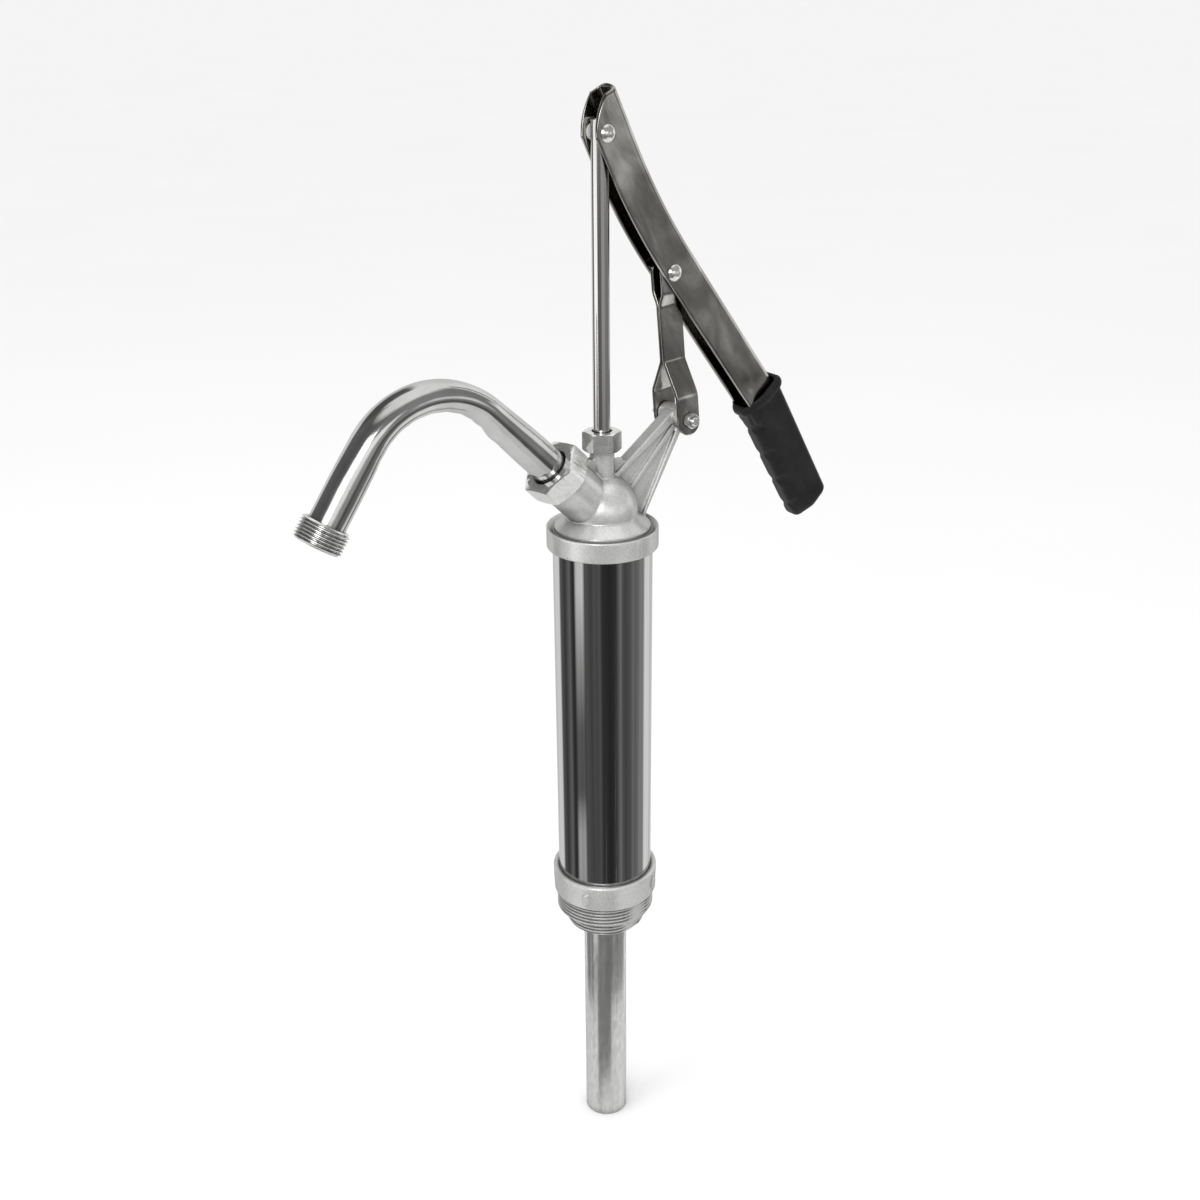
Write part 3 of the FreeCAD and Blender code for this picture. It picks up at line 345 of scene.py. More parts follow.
def pressed_chrome(g, where):
    """Chrome over pressed sheet, softly waved, with rolling grain, mottled warm haze and painted shade in corners.
    """
    rolled = g.node("ShaderNodeMapping", {"Vector": where, "Rotation": (0, -LEVER_TILT, 0)}).outputs[0]
    normal = g.bump(g.noise(rolled, 1.0, 2.0, stretch=(24, 60, 52), warp=0.6), 0.8, 0.0006)
    normal = g.bump(g.noise(rolled, 1.0, 3.0, stretch=(240, 900, 900)), 0.16, 0.0001, normal)
    cloud = g.noise(rolled, 1.0, 5.0, stretch=(26, 70, 60), warp=0.8)
    fleck = g.noise(where, 380.0, 3.0)
    tone = g.ramp(cloud, [
        (0.34, (0.32, 0.31, 0.29)), (0.50, (0.45, 0.435, 0.41)), (0.66, (0.70, 0.69, 0.66))])
    tone = g.mix(g.span(fleck, 0.60, 0.78, 0.0, 0.35), tone, (0.36, 0.35, 0.33, 1))
    return g.metal(g.painted_shade(tone, 0.005, 0.3), g.span(cloud, 0.3, 0.75, 0.07, 0.24), normal)


def casting(g, where):
    """Die-cast alloy: fine sand grain and soft cloudy tone, with painted shade below, in corners, in threads and
    where seen edge on.
    """
    cloud = g.noise(where, 70.0, 5.0)
    grain = g.noise(where, 1100.0, 4.0)
    facing_up = g.dot(g.node("ShaderNodeNewGeometry").outputs["Normal"], UP)
    normal = g.bump(grain, 0.22, 0.0002)
    tone = g.ramp(cloud, [(0.3, (0.80, 0.805, 0.79)), (0.7, (0.90, 0.905, 0.89))])
    tone = g.mix(g.span(grain, 0.38, 0.55, 0.5, 0.0), tone, (0.60, 0.605, 0.59, 1))
    # Painted shade: faces turned down are darkened, as if in shade from the light above
    tone = g.mix(1.0, tone, g.span(facing_up, -0.9, 0.1, 0.56, 1.0), "MULTIPLY")
    # Painted shade in corners and threads, and towards edges seen edge on
    tone = g.painted_shade(tone, 0.005, 0.28, 0.42)
    return g.metal(tone, g.span(cloud, 0.3, 0.7, 0.26, 0.34), normal, 0.60)


def bright_zinc(g, where):
    """Bright zinc plate on turned hexagons, a little pitted, with painted shade in corners."""
    cloud = g.noise(where, 150.0, 5.0, warp=0.6)
    pits = g.noise(where, 1300.0, 3.0)
    normal = g.bump(cloud, 0.08, 0.0005)
    normal = g.bump(pits, 0.20, 0.0001, normal)
    tone = g.ramp(cloud, [(0.3, (0.76, 0.76, 0.74)), (0.7, (0.93, 0.93, 0.91))])
    tone = g.mix(g.span(pits, 0.56, 0.72, 0.0, 0.5), tone, (0.45, 0.45, 0.43, 1))
    return g.metal(g.painted_shade(tone, 0.0025, 0.2), g.span(cloud, 0.3, 0.7, 0.08, 0.18), normal, 0.88)


def pipe_zinc(g, where):
    """Zinc on seamed steel pipe, streaked along its length and dulled in small spangles, with painted shade in
    corners.
    """
    streak = g.noise(where, 1.0, 4.0, stretch=(900, 900, 9))
    spangle = g.noise(where, 1.0, 4.0, stretch=(500, 500, 160))
    normal = g.bump(streak, 0.12, 0.0002)
    normal = g.bump(spangle, 0.06, 0.0002, normal)
    tone = g.ramp(spangle, [(0.3, (0.60, 0.60, 0.59)), (0.7, (0.76, 0.76, 0.75))])
    return g.metal(g.painted_shade(tone, 0.006, 0.4), g.span(streak, 0.3, 0.7, 0.13, 0.24), normal, 0.85)


def rod_steel(g, where):
    """Ground rod: fine rings round it and a few long slide marks."""
    normal = g.bump(g.noise(where, 1.0, 2.0, stretch=(60, 60, 2500)), 0.05, 0.0001)
    slide = g.noise(where, 1.0, 3.0, stretch=(1500, 1500, 14))
    rough = g.span(slide, 0.3, 0.7, 0.09, 0.17)
    tone = g.ramp(slide, [(0.3, (0.60, 0.59, 0.58)), (0.7, (0.68, 0.67, 0.66))])
    return g.metal(tone, rough, normal)


def grip_plastic(g, where):
    """Soft black vinyl with a fine spark-eroded grain and painted shade in corners."""
    grain = g.noise(where, 2200.0, 2.0)
    normal = g.bump(g.noise(where, 120.0, 3.0), 0.10, 0.0005)
    normal = g.bump(grain, 0.20, 0.0002, normal)
    tone = g.ramp(g.noise(where, 80.0, 4.0), [(0.3, 0.010), (0.7, 0.020)])
    tone = g.painted_shade(tone, 0.003, 0.3)
    return g.metal(tone, g.span(grain, 0.3, 0.7, 0.40, 0.55), normal, 0.0, **{"Specular IOR Level": 0.32})


def brass(g, where):
    cloud = g.noise(where, 120.0, 4.0)
    tone = g.ramp(cloud, [(0.3, (0.60, 0.44, 0.20)), (0.7, (0.74, 0.57, 0.29))])
    normal = g.bump(g.noise(where, 900.0, 3.0), 0.10, 0.0002)
    return g.metal(tone, g.span(cloud, 0.3, 0.7, 0.2, 0.34), normal)


def rubber(g, where):
    grain = g.noise(where, 400.0, 3.0)
    return g.metal(g.ramp(grain, [(0.3, 0.010), (0.7, 0.022)]), 0.6, g.bump(grain, 0.1, 0.0002), 0.0)


def valve_plastic(g, where):
    grain = g.noise(where, 300.0, 3.0)
    return g.metal(g.ramp(grain, [(0.3, 0.62), (0.7, 0.72)]), 0.45, g.bump(grain, 0.1, 0.0002), 0.0)


SLOT_FINISHES = {
    "chromed_steel": pressed_chrome, "die_cast_alloy": casting, "plated_steel": bright_zinc,
    "rod_steel": rod_steel, "brass": brass, "nitrile_rubber": rubber,
    "valve_plastic": valve_plastic, "grip_plastic": grip_plastic}
NODE_FINISHES = {"barrel_tube": drawn_chrome, "spout_tube": bent_chrome, "suction_pipe": pipe_zinc}
SLOTS = {row["node"]: row["material_slot"] for row in frame["record"]["subparts"]}
made_finishes = {}


def finish_for(node):
    """The finish of a CAD node: its own if it has one, else its material slot's."""
    build = NODE_FINISHES.get(node, SLOT_FINISHES[SLOTS[node]])
    if build not in made_finishes:
        made_finishes[build] = finish_of(build.__name__, build)
    return made_finishes[build]


def paint_cad():
    for name, node in frame["nodes"].items():
        node.data.materials.clear()
        node.data.materials.append(finish_for(name))


# ---- mesh building -----------------------------------------------------------------------

BODIES = {node: body for body, nodes in frame["record"]["behaviour"]["bodies"].items() for node in nodes}


def smoothstep(low, high, value):
    t = np.clip((value - low) / (high - low), 0, 1)
    return t * t * (3 - 2 * t)


def bell(value, middle, width):
    return np.exp(-((value - middle) / width) ** 2)


def row_of(points, origin, x_axis, z_axis):
    """Points drawn in a turned frame (mm) as points in the row frame (mm). Y is shared."""
    points = np.asarray(points, float)
    x_axis, z_axis, origin = (np.array(v, float) for v in (x_axis, z_axis, origin))
    across = np.cross(z_axis, x_axis)
    return origin + points[..., :1] * x_axis + points[..., 1:2] * across + points[..., 2:] * z_axis


def tube_faces(rings, around, joined=False, capped=False):
    """Quads between consecutive rings of equal point count. Joined links last to first."""
    faces = []
    for i in range(rings if joined else rings - 1):
        for j in range(around):
            here, there = i * around, ((i + 1) % rings) * around
            after = (j + 1) % around
            faces.append((here + j, here + after, there + after, there + j))
    if capped:
        faces.append(tuple(range(around)))
        faces.append(tuple((rings - 1) * around + j for j in range(around)))
    return faces


def add_piece(name, rings, node, joined=False, capped=False):
    """A closed skin over rings of row-frame points in millimetres, in place of a CAD node."""
    rings = np.asarray(rings, float)
    mesh = bpy.data.meshes.new(name)
    mesh.from_pydata((rings.reshape(-1, 3) * MM).tolist(), [],
                     tube_faces(len(rings), rings.shape[1], joined, capped))
    return finish_piece(name, mesh, node)


def finish_piece(name, mesh, node):
    """Closes and smooths the mesh, and puts it in the CAD node's place, body and finish."""
    skin = bmesh.new()
    skin.from_mesh(mesh)
    bmesh.ops.remove_doubles(skin, verts=skin.verts, dist=1e-7)
    bmesh.ops.recalc_face_normals(skin, faces=skin.faces)
    skin.to_mesh(mesh)
    skin.free()
    mesh.shade_smooth()
    mesh.materials.append(finish_for(node))
    made = bpy.data.objects.new(name, mesh)
    bpy.context.scene.collection.objects.link(made)
    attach(made, BODIES[node])
    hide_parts(node)
    return made


# ---- spout -------------------------------------------------------------------------------

SPOUT_ROOT_Z = 245.0
SPOUT_RISE = math.radians(45)
SPOUT_END = math.radians(146)
SPOUT_FOOT = 42.3
SPOUT_STRAIGHT = 100.9
SPOUT_BEND = 45.0
SPOUT_DROP = 56.0
SPOUT_RADIUS = 10.0
SPOUT_WALL = 1.5
SPOUT_LENGTH = SPOUT_STRAIGHT + SPOUT_BEND * (SPOUT_END - SPOUT_RISE) + SPOUT_DROP
# Bending flattens the tube between these distances, by these depths outside and inside the bend, and
# widens it
FLAT_START, FLAT_STOP = (60, 118), (150, 206)
FLAT_OUTSIDE, FLAT_INSIDE, FLAT_WIDER = 2.1, 1.6, 1.0
# Creases on the inside of the bend: distance, width and depth
SPOUT_CREASES = ((97, 3.2, 0.75), (90, 4.0, -0.45), (184, 3.5, 0.55))
RIPPLE_DEPTH, RIPPLE_RATE = 0.12, 0.55


def spout_frame(along):
    """Centre and heading of the spout's centreline at a distance from the barrel's axis."""
    turn = SPOUT_BEND * (SPOUT_END - SPOUT_RISE)
    bent = np.clip((along - SPOUT_STRAIGHT) / turn, 0, 1)
    heading = SPOUT_RISE + bent * (SPOUT_END - SPOUT_RISE)
    before = min(along, SPOUT_STRAIGHT)
    after = max(along - SPOUT_STRAIGHT - turn, 0)
    x = -before * math.sin(SPOUT_RISE) + SPOUT_BEND * (math.cos(heading) - math.cos(SPOUT_RISE))
    z = before * math.cos(SPOUT_RISE) + SPOUT_BEND * (math.sin(heading) - math.sin(SPOUT_RISE))
    x -= after * math.sin(SPOUT_END)
    z += after * math.cos(SPOUT_END)
    return np.array([x, 0, SPOUT_ROOT_Z + z]), heading


def spout_ring(along, shrink, around=144):
    """One ring of the bent tube. The bend flattens it and leaves a crease at each of its ends."""
    centre, heading = spout_frame(along)
    angle = np.linspace(0, math.tau, around, endpoint=False)
    flat = smoothstep(*FLAT_START, along) * (1 - smoothstep(*FLAT_STOP, along))
    outer = np.clip(np.cos(angle), 0, 1)
    inner = np.clip(-np.cos(angle), 0, 1)
    radius = SPOUT_RADIUS - shrink - outer ** 2 * FLAT_OUTSIDE * flat - inner ** 2 * FLAT_INSIDE * flat
    radius = radius + np.sin(angle) ** 2 * FLAT_WIDER * flat
    crease = sum(depth * bell(along, middle, width) for middle, width, depth in SPOUT_CREASES)
    radius = radius - inner ** 3 * crease
    radius = radius - inner ** 2 * RIPPLE_DEPTH * flat * math.sin(along * RIPPLE_RATE)
    away = np.array([math.cos(heading), 0, math.sin(heading)])
    side = np.array([0, 1.0, 0])
    return centre + (radius * np.cos(angle))[:, None] * away + (radius * np.sin(angle))[:, None] * side


def build_spout():
    end = SPOUT_LENGTH
    stations = np.linspace(SPOUT_FOOT, end - 0.4, 260)
    outside = [spout_ring(s, 0) for s in stations]
    lip = [spout_ring(end - 0.1, 0.15), spout_ring(end, 0.5), spout_ring(end, SPOUT_WALL - 0.3)]
    inside = [spout_ring(s, SPOUT_WALL) for s in stations[::-4]]
    return add_piece("spout_bent_tube", outside + lip + inside, "spout_tube", joined=True)


# ---- turned and threaded pieces ----------------------------------------------------------

# A thread's steepness of flank, its crest's width against its root's, and its run-out at each end
FLANK_SLOPE, FLANK_SHIFT = 5.2, 0.75
RUN_OUT = 0.7


def thread_height(along, angle, pitch, start, end):
    """0 to 1 up the flank of a helical thread that fades in and out at its ends."""
    phase = np.mod(along / pitch - angle / math.tau, 1.0)
    flank = np.clip(FLANK_SLOPE * np.abs(phase - 0.5) - FLANK_SHIFT, 0, 1)
    begun = smoothstep(start - 0.2, start + RUN_OUT, along)
    ended = smoothstep(end - RUN_OUT, end + 0.2, along)
    return (1 - flank) * begun * (1 - ended)


def build_ferrule():
    """The outlet's thread: G 3/4 over the crests, with shallow handling marks on them."""
    radius, depth, length, pitch, bore = 13.2, 1.16, 12.5, 1.814, SPOUT_RADIUS
    mark_depth = 0.10
    centre, heading = spout_frame(SPOUT_LENGTH - length)
    along_axis = np.array([-math.sin(heading), 0, math.cos(heading)])
    away = np.array([math.cos(heading), 0, math.sin(heading)])
    around = 144
    angle = np.linspace(0, math.tau, around, endpoint=False)
    profile = [(bore + 0.02, 0.0, False), (radius - depth - 0.3, 0.0, False), (radius - depth, 0.3, True)]
    profile += [(radius - depth, a, True) for a in np.linspace(0.4, length - 0.4, 110)]
    profile += [(radius - depth, length - 0.3, True), (radius - depth - 0.3, length, False),
                (bore + 0.5, length, False), (bore + 0.02, length - 0.4, False)]
    rings = []
    for base, along, threaded in profile:
        size = base + 0 * angle
        if threaded:
            size = size + depth * thread_height(along, angle, pitch, 0.5, length - 0.5)
            size = size - mark_depth * np.maximum(0, np.sin(3 * angle + along * 1.3)) ** 6
        rings.append(centre + along_axis * along + (size * np.cos(angle))[:, None] * away
                     + (size * np.sin(angle))[:, None] * np.array([0, 1.0, 0]))
    return add_piece("spout_outlet_thread", rings, "spout_outlet_ferrule", joined=True)


# The adapter's thread, its two crest radii, the levels of its step and foot, and its wall with
# draft; then the angle of its planed flats, and its lugs' first angle, middle level, half width, half
# height and rise
BUNG_PITCH, BUNG_DEPTH = 2.309, 1.35
LARGE_CREST, SMALL_CREST = 29.8, 23.9
STEP_Z, FOOT_Z = -13.3, -23.5
WALL_RADIUS, WALL_DRAFT, WALL_LOW, WALL_HEIGHT = 31.4, 0.5, 0.4, 14.8
FLAT_ANGLE = math.radians(100)
LUG_COUNT, LUG_ANGLE = 4, math.radians(35)
LUG_Z, LUG_HALF_WIDTH, LUG_HALF_HEIGHT, LUG_RISE = 7.5, 1.9, 4.1, 1.25


def build_adapter():
    """The stepped bung adapter: two helical threads with two flats planed through them, and lugs."""
    around = 480
    angle = np.linspace(0, math.tau, around, endpoint=False)
    pitch, depth = BUNG_PITCH, BUNG_DEPTH
    large, small, step = LARGE_CREST - depth, SMALL_CREST - depth, STEP_Z
    foot = FOOT_Z
    wall = [(WALL_RADIUS + WALL_DRAFT * t, WALL_LOW + WALL_HEIGHT * t) for t in np.linspace(0, 1, 52)]
    # Each ring's radius, level and kind: 0 plain, 1 small thread, 2 large thread, 3 outer wall
    profile = [(12.85, foot + 3, 0), (12.85, foot + 0.3, 0), (13.2, foot, 0), (small - 0.5, foot, 0),
               (small, foot + 0.4, 1)]
    profile += [(small, z, 1) for z in np.linspace(foot + 0.5, step - 0.05, 62)]
    profile += [(small + 0.4, step, 0), (large - 0.4, step, 0)]
    profile += [(large, z, 2) for z in np.linspace(step + 0.05, -0.1, 84)]
    profile += [(large + 0.2, -0.02, 0), (30.9, 0, 0), (31.25, 0.12, 0)]
    profile += [(r, z, 3) for r, z in wall]
    profile += [(31.75, 15.7, 0), (31.35, 16.15, 0), (30.8, 16.38, 0), (30.2, 16.4, 0), (28.8, 16.4, 0),
                (28.6, 16.2, 0), (28.56, 15.8, 0), (28.56, 3.1, 0), (22.1, 3.05, 0), (22.1, foot + 3.2, 0)]
    flats = [FLAT_ANGLE + math.pi, FLAT_ANGLE]
    rings = []
    for base, z, kind in profile:
        size = base + 0 * angle
        if kind == 1:
            size = size + depth * thread_height(z, angle, pitch, foot + 0.6, step + 0.4)
        if kind == 2:
            size = size + depth * thread_height(z, angle, pitch, step + 0.5, -0.3)
        if kind in (1, 2):
            for flat in flats:
                away = np.cos(angle - flat)
                limit = np.where(away > 0.5, (base + 0.05) / np.maximum(away, 0.5), 1e3)
                size = np.minimum(size, limit)
        if kind == 3:
            for k in range(LUG_COUNT):
                lug = LUG_ANGLE + math.tau / LUG_COUNT * k
                off = (np.mod(angle - lug + math.pi, math.tau) - math.pi) * base
                mound = 1 - (off / LUG_HALF_WIDTH) ** 4 - ((z - LUG_Z) / LUG_HALF_HEIGHT) ** 4
                size = size + LUG_RISE * smoothstep(0, 0.5, mound)
            size = size + 0.05 * np.sin(angle * 5 + 1) * bell(z, 8, 6)
        rings.append(np.stack([size * np.cos(angle), size * np.sin(angle), z + 0 * angle], -1))
    return add_piece("bung_adapter_cast", rings, "bung_adapter", joined=True)


# ---- lever -------------------------------------------------------------------------------

LEVER_ORIGIN = pivot_of("lever_swing")
LEVER_X = (math.cos(LEVER_TILT), 0, -math.sin(LEVER_TILT))
LEVER_Z = (math.sin(LEVER_TILT), 0, math.cos(LEVER_TILT))
LEVER_HALF = 8.0
LEVER_DEPTH = 22.2
LEVER_SHEET = 2.0
LEVER_FOLD = 3.9
# The nose's corner, its radius seen from above, and the curve its side walls are cut to; then the
# top edge's bend, and the heel inside the grip
NOSE_X, NOSE_Z, NOSE_PLAN = -16.0, 9.0, 17.0
NOSE_LOW_X, NOSE_LOW_Z, NOSE_RADIUS = 0.42, -7.2, 36.0
BEND_X, BEND_Z, BEND_RADIUS = 12.0, 14.1, 350.0
NOSE_SLOPE, TAIL_SLOPE = math.radians(4.5), math.radians(7.0)
TAIL_LENGTH, HEEL_RADIUS, HEEL_LENGTH = 98.0, 60.0, 71.0
TAIL_START, TAIL_RISE = 187.0, 7.0


def lever_top(along):
    """A point (x, z) of the lever's top edge and its heading, by distance past the bend's start."""
    arc = BEND_RADIUS * (NOSE_SLOPE + TAIL_SLOPE)
    heel = HEEL_RADIUS * TAIL_SLOPE
    a = np.clip(along, None, 0)
    x = BEND_X + a * math.cos(NOSE_SLOPE)
    z = BEND_Z - a * math.sin(NOSE_SLOPE)
    heading = -NOSE_SLOPE + np.clip(along, 0, arc) / BEND_RADIUS
    x += BEND_RADIUS * (math.sin(NOSE_SLOPE) + math.sin(heading))
    z += BEND_RADIUS * (math.cos(NOSE_SLOPE) - math.cos(heading))
    b = np.clip(along - arc, 0, TAIL_LENGTH)
    x += b * math.cos(TAIL_SLOPE)
    z += b * math.sin(TAIL_SLOPE)
    c = np.clip(along - arc - TAIL_LENGTH, 0, heel)
    if c > 0:
        x += HEEL_RADIUS * (math.sin(TAIL_SLOPE) - math.sin(TAIL_SLOPE - c / HEEL_RADIUS))
        z += HEEL_RADIUS * (math.cos(TAIL_SLOPE - c / HEEL_RADIUS) - math.cos(TAIL_SLOPE))
        heading = TAIL_SLOPE - c / HEEL_RADIUS
    x += max(along - arc - TAIL_LENGTH - heel, 0)
    return x, z, heading


def lever_flange_depth(x, z):
    """How far the side walls reach below the top edge: cut to a curve at the nose, less in the grip."""
    if x >= NOSE_LOW_X:
        return LEVER_DEPTH - TAIL_RISE * smoothstep(TAIL_START, TAIL_START + TAIL_RISE, x)
    middle = np.array([(NOSE_LOW_X + NOSE_X) / 2, (NOSE_LOW_Z + NOSE_Z) / 2])
    chord = np.array([NOSE_X - NOSE_LOW_X, NOSE_Z - NOSE_LOW_Z])
    length = np.linalg.norm(chord)
    inward = np.array([chord[1], -chord[0]]) / length
    centre = middle + inward * math.sqrt(NOSE_RADIUS ** 2 - (length / 2) ** 2)
    low = centre[1] - math.sqrt(max(NOSE_RADIUS ** 2 - (x - centre[0]) ** 2, 0))
    return min(z - low, LEVER_DEPTH)


def channel_section(depth, sheet, half, fold):
    """A U of sheet as one closed loop of (y, depth below the top edge)."""
    def leg(y, low, high, count):
        return [(y, d) for d in np.linspace(low, high, count)]

    def corner(y, d, radius, start, count=9):
        turns = np.linspace(start, start + math.pi / 2, count)
        return [(y + radius * math.cos(t), d - radius * math.sin(t)) for t in turns]

    inner = max(fold - sheet, 0.3)
    rim = sheet / 2
    outer_right = leg(half, depth - 0.5 * rim, fold, 16) + corner(half - fold, fold, fold, 0)
    web = [(y, 0) for y in np.linspace(half - fold, fold - half, 12)[1:-1]]
    outer = outer_right + web + [(-y, d) for y, d in reversed(outer_right)]
    low = [(-half + rim * (1 - math.cos(t)), depth - 0.5 * rim + 0.5 * rim * math.sin(t))
           for t in np.linspace(0, math.pi, 7)[1:-1]]
    inner_half = half - sheet
    inner_right = leg(inner_half, depth - 0.5 * rim, sheet + inner, 16) + \
        corner(inner_half - inner, sheet + inner, inner, 0, 5)
    ceiling = [(y, sheet) for y in np.linspace(inner_half - inner, inner - inner_half, 12)[1:-1]]
    within = inner_right + ceiling + [(-y, d) for y, d in reversed(inner_right)]
    return np.array(outer + low + list(reversed(within)) + [(-y, d) for y, d in reversed(low)])


# The sheet is thinned towards this share of itself at the nose's rounded edge, over this distance
NOSE_THIN, NOSE_THIN_REACH = 0.35, 0.9
# The side walls' waviness: its height, and its rates along and down the wall
WALL_WAVE, WALL_WAVE_RATES = 0.10, (0.045, 0.2)
# Where a point counts as part of a side wall, by its distance from the lever's middle
WALL_FROM, WALL_TO = 5.2, 6.0
# Hollows pressed into the side walls round the rivets and by the grip: x, z, depth, spread
WALL_DENTS = ((0, 0, 0.24, 80.0), (16, -1, 0.16, 60.0), (86, 0, 0.34, 80.0), (112, 6, 0.22, 110.0),
              (174, 12.5, 0.55, 36.0))


def build_lever():
    arc = BEND_RADIUS * (NOSE_SLOPE + TAIL_SLOPE)
    full = arc + TAIL_LENGTH + HEEL_RADIUS * TAIL_SLOPE + HEEL_LENGTH
    nose = -(BEND_X - NOSE_X) / math.cos(NOSE_SLOPE)
    stations = np.concatenate([[nose, nose + 0.12, nose + 0.4, nose + 0.9],
                               np.linspace(nose + 1.6, 20, 60), np.linspace(21.5, full, 190)])
    rings = []
    for s in stations:
        x, z, heading = lever_top(s)
        depth = lever_flange_depth(x, z)
        ease = NOSE_THIN + (1 - NOSE_THIN) * math.sqrt(min((s - nose) / NOSE_THIN_REACH, 1.0))
        section = channel_section(depth, LEVER_SHEET * ease, LEVER_HALF - LEVER_SHEET * (1 - ease) / 2,
                                  LEVER_FOLD)
        y, down = section[:, 0], section[:, 1] + LEVER_SHEET * (1 - ease) / 2
        down_x, down_z = math.sin(heading), -math.cos(heading)
        px = x + down * down_x
        pz = z + down * down_z
        bulge = np.sqrt(NOSE_PLAN ** 2 - np.clip(y, -LEVER_HALF, LEVER_HALF) ** 2)
        bulge = bulge - math.sqrt(NOSE_PLAN ** 2 - LEVER_HALF ** 2)
        px = px - bulge * (1 - smoothstep(0, 16, s - nose))
        wall = smoothstep(WALL_FROM, WALL_TO, np.abs(y)) * np.sign(y)
        for dent_x, dent_z, dish, spread in WALL_DENTS:
            near = (px - dent_x) ** 2 + (pz - dent_z) ** 2
            y = y - wall * dish * np.exp(-near / spread)
        wave = math.sin(s * WALL_WAVE_RATES[0] + 0.6) * np.sin(down * WALL_WAVE_RATES[1])
        y = y - wall * WALL_WAVE * wave
        rings.append(np.stack([px, y, pz], -1))
    rings = row_of(rings, LEVER_ORIGIN, LEVER_X, LEVER_Z)
    return add_piece("lever_pressed_channel", rings, "lever_channel", capped=True)


# ---- grip --------------------------------------------------------------------------------

GRIP_START, GRIP_END, GRIP_MIDDLE = 183.0, 272.7, 16.45
GRIP_HALF_Y, GRIP_HALF_Z = 11.2, 12.65
BEAD_LENGTH, BEAD_RISE, BEAD_SWELL = 6.0, 2.35, 1.3
END_ROUND = 5.0
# The mouth, rim and end lean by this slope
GRIP_CANT = 0.2
# Finger dents on both corners of the underside: places along the grip, their middle across and
# below, their half sizes and their depth
FINGERS = (201.0, 221.0, 241.5, 261.5)
FINGER_Y, FINGER_Z = 5.9, -11.6
FINGER_SIZE = (3.2, 3.4, 3.6)
FINGER_DEPTH = 1.05
# Right halves of the sections as corners (y, z, radius). The body is canted on the finger side.
GRIP_SECTION = ((11.2, 12.65, 3.4), (11.2, -1.0, 9.0), (5.2, -12.65, 4.4))
MOUTH_SECTION = ((9.3, 12.0, 2.4), (9.3, 0.0, 9.0), (8.9, -11.6, 2.4))


def rounded_outline(corners, each=10, between=7):
    """A closed outline through rounded corners, with the same number of points whatever its size."""
    corners = np.array(corners, float)
    points = []
    for i in range(len(corners)):
        here = corners[i, :2]
        to_last = corners[i - 1, :2] - here
        to_next = corners[(i + 1) % len(corners), :2] - here
        to_last /= np.linalg.norm(to_last)
        to_next /= np.linalg.norm(to_next)
        half = math.acos(np.clip(to_last @ to_next, -1, 1)) / 2
        reach = corners[i, 2] / math.tan(half)
        start, stop = here + to_last * reach, here + to_next * reach
        centre = here + (to_last + to_next) / (2 * math.cos(half)) * corners[i, 2] / math.sin(half)
        for t in np.linspace(0, 1, each):
            way = (start - centre) * (1 - t) + (stop - centre) * t
            points.append(centre + way / np.linalg.norm(way) * corners[i, 2])
        nxt = corners[(i + 1) % len(corners)]
        after = corners[(i + 2) % len(corners), :2] - nxt[:2]
        after /= np.linalg.norm(after)
        half_next = math.acos(np.clip(-to_next @ after, -1, 1)) / 2
        end = nxt[:2] - to_next * nxt[2] / math.tan(half_next)
        points += [stop + (end - stop) * t for t in np.linspace(0, 1, between + 2)[1:-1]]
    return np.array(points)


def section_outline(right):
    return rounded_outline(list(right) + [(-y, z, radius) for y, z, radius in reversed(right)])


def grip_ring(x, part=1.0, grow_y=0.0, grow_z=0.0):
    """The grip's section at x: part 0 is the mouth's, 1 the body's, then grown outward."""
    outline = section_outline(MOUTH_SECTION) * (1 - part) + section_outline(GRIP_SECTION) * part
    outline[:, 0] *= 1 + grow_y / GRIP_HALF_Y
    outline[:, 1] *= 1 + grow_z / GRIP_HALF_Z
    return np.column_stack([np.full(len(outline), x), outline])


def build_grip():
    rings = [grip_ring(GRIP_START + deep, 0.0) for deep in (16.0, 12.0, 8.0, 5.0, 3.0, 1.6, 0.9)]
    rings += [grip_ring(GRIP_START + deep, part) for deep, part in ((0.45, 0.15), (0.15, 0.45), (0.0, 0.8))]
    for t in np.linspace(math.radians(-86), math.radians(84), 26):
        rise = math.cos(t) ** 0.8
        x = GRIP_START + BEAD_LENGTH / 2 * (1 + math.sin(t))
        rings.append(grip_ring(x, 1.0, BEAD_SWELL * rise, BEAD_RISE * rise))
    for x in np.linspace(GRIP_START + BEAD_LENGTH + 0.3, GRIP_END - END_ROUND, 150):
        taper = -0.3 * smoothstep(GRIP_START, GRIP_END, x)
        fillet = 1 - smoothstep(GRIP_START + BEAD_LENGTH, GRIP_START + BEAD_LENGTH + 2.5, x)
        rings.append(grip_ring(x, 1.0, taper + 0.15 * fillet, taper + 0.3 * fillet))
    for t in np.linspace(0.08, math.pi / 2 - 0.02, 14):
        shrink = -0.3 - 4.0 * (1 - math.cos(t))
        rings.append(grip_ring(GRIP_END - END_ROUND * (1 - math.sin(t)), 1.0, shrink, shrink))
    rings = np.array(rings)
    along, across, high = rings[..., 0], rings[..., 1], rings[..., 2]
    for finger in FINGERS:
        for side in (-1, 1):
            offsets = (along - finger, across - side * FINGER_Y, high - FINGER_Z)
            away = sum((offset / size) ** 2 for offset, size in zip(offsets, FINGER_SIZE))
            dent = FINGER_DEPTH * smoothstep(1.6, 0.2, away)
            rings[..., 1] -= side * 0.45 * dent
            rings[..., 2] += 0.89 * dent
    end = smoothstep(GRIP_END - 9, GRIP_END, along)
    rings[..., 0] -= 0.6 * end * smoothstep(0, 12, high) + GRIP_CANT * high
    rings[..., 2] += GRIP_MIDDLE
    rings = row_of(rings, LEVER_ORIGIN, LEVER_X, LEVER_Z)
    return add_piece("lever_moulded_grip", rings, "lever_grip", capped=True)


# ---- link --------------------------------------------------------------------------------

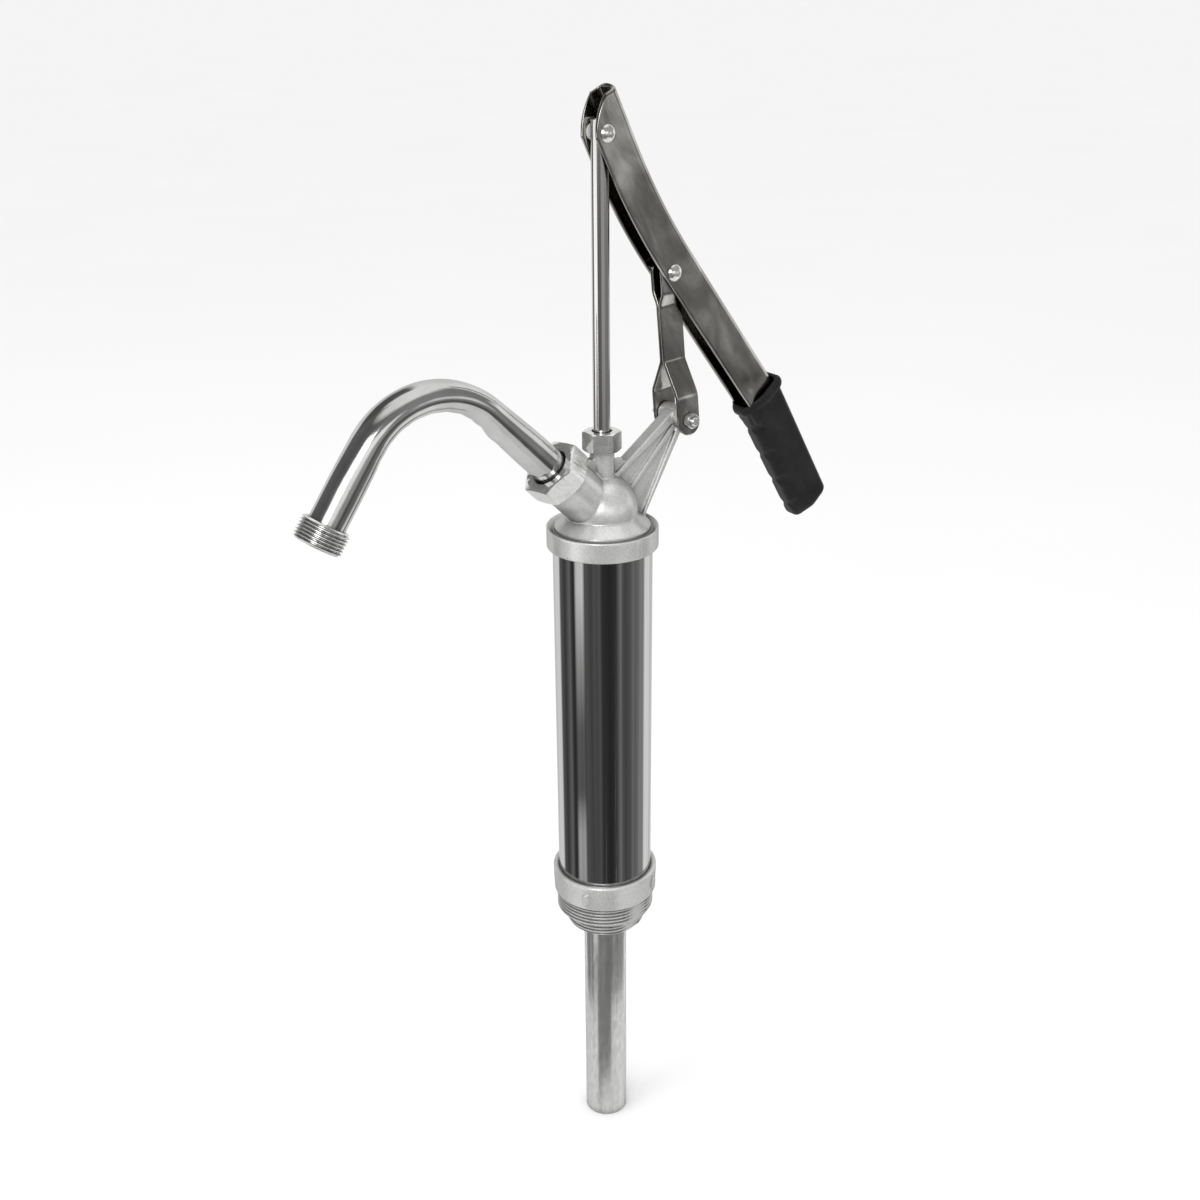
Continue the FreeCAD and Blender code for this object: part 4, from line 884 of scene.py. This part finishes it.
LINK_FOOT = pivot_of("link_swing")
LINK_LEAN = math.radians(5.44)
LINK_SHEET = 2.5
LINK_HALF = 7.1
FOOT_DROP = 2.0
LINK_TOP = 87.3
# The plate's middle surface: distance out from the link's middle, height above its foot's pivot
LINK_PATH = ((11.25, -12.0), (11.25, 14.0), (1.27, 32.2), (1.27, 64.7), (4.45, 71.0), (4.45, 90.0))
LINK_EDGE = 0.5


def build_link_plate(node, way):
    """A plate joggled in to meet its twin in the middle, with rounded bends and a round foot."""
    z = np.linspace(-LINK_HALF - FOOT_DROP, LINK_TOP, 240)
    y = np.interp(z, [height for _, height in LINK_PATH], [out for out, _ in LINK_PATH])
    window = np.ones(9) / 9
    y = np.convolve(np.pad(y, 4, mode="edge"), window, mode="valid")
    slope = np.gradient(y, z)
    length = np.hypot(1, slope)
    rings = []
    for yi, zi, si, li in zip(y, z, slope, length):
        below = min(zi + FOOT_DROP, 0)
        half = math.sqrt(max(LINK_HALF ** 2 - below ** 2, 0.04))
        half = min(half, LINK_HALF - max(zi - LINK_TOP + 4, 0) ** 2 * 0.22)
        edge = min(LINK_EDGE, half * 0.8)
        loop = []
        for cx, cy, start in ((1, 1, 0), (-1, 1, 1), (-1, -1, 2), (1, -1, 3)):
            for t in np.linspace(start * math.pi / 2, (start + 1) * math.pi / 2, 5):
                loop.append((cx * (half - edge) + edge * math.cos(t),
                             cy * (LINK_SHEET / 2 - LINK_EDGE) + LINK_EDGE * math.sin(t)))
        loop = np.array(loop)
        normal_y, normal_z = 1 / li, -si / li
        rings.append(np.stack([loop[:, 0], way * (yi + loop[:, 1] * normal_y),
                               zi + loop[:, 1] * normal_z], -1))
    x_axis = (math.cos(LINK_LEAN), 0, math.sin(LINK_LEAN))
    z_axis = (-math.sin(LINK_LEAN), 0, math.cos(LINK_LEAN))
    rings = row_of(rings, LINK_FOOT, x_axis, z_axis)
    return add_piece(node + "_pressed", rings, node, capped=True)


# ---- head casting ------------------------------------------------------------------------

CAST_VOXEL = 0.00038
CAST_SMOOTHING = 4


def build_head():
    """The head with the soft inside and outside corners of a casting."""
    source = frame["nodes"]["head_casting"]
    mesh = source.data.copy()
    skin = bmesh.new()
    skin.from_mesh(mesh)
    bmesh.ops.remove_doubles(skin, verts=skin.verts, dist=1e-6)
    skin.to_mesh(mesh)
    skin.free()
    draft = bpy.data.objects.new("head_draft", mesh)
    bpy.context.scene.collection.objects.link(draft)
    remesh = draft.modifiers.new("remesh", "REMESH")
    remesh.mode = "VOXEL"
    remesh.voxel_size = CAST_VOXEL
    relax = draft.modifiers.new("relax", "SMOOTH")
    relax.factor = 0.5
    relax.iterations = CAST_SMOOTHING
    graph = bpy.context.evaluated_depsgraph_get()
    cast = bpy.data.meshes.new_from_object(draft.evaluated_get(graph))
    bpy.data.objects.remove(draft)
    cast.name = "head_cast"
    cast.materials.clear()
    return finish_piece("head_soft_casting", cast, "head_casting")


# ---- CAD nodes that stay -----------------------------------------------------------------

EDGE_BREAKS = {"gland_nut": 0.3, "spout_union_nut": 0.35, "fulcrum_bolt": 0.2, "fulcrum_nut": 0.2,
               "piston_nut": 0.3, "suction_pipe": 0.3}
SHARP = math.radians(25)


def break_edges():
    """A small round on every sharp edge of the turned and hexagonal pieces."""
    for name, width in EDGE_BREAKS.items():
        node = frame["nodes"][name]
        weld = node.modifiers.new("weld", "WELD")
        weld.merge_threshold = 1e-6
        bevel = node.modifiers.new("edge_break", "BEVEL")
        bevel.width = width * MM
        bevel.segments = 3
        bevel.limit_method = "ANGLE"
        bevel.angle_limit = SHARP
        bevel.harden_normals = True


# ---- build -------------------------------------------------------------------------------

build_world()
build_floor()
add_softbox("key", -60, 50, 1.6, 0.9, 8).visible_glossy = False
add_softbox("front", -12, 22, 1.3, 0.5, 3)
paint_cad()
break_edges()
build_adapter()
build_head()
build_spout()
build_ferrule()
build_lever()
build_grip()
build_link_plate("link_plate_near", -1)
build_link_plate("link_plate_far", 1)
set_camera()
bpy.context.scene.view_settings.view_transform = "Standard"
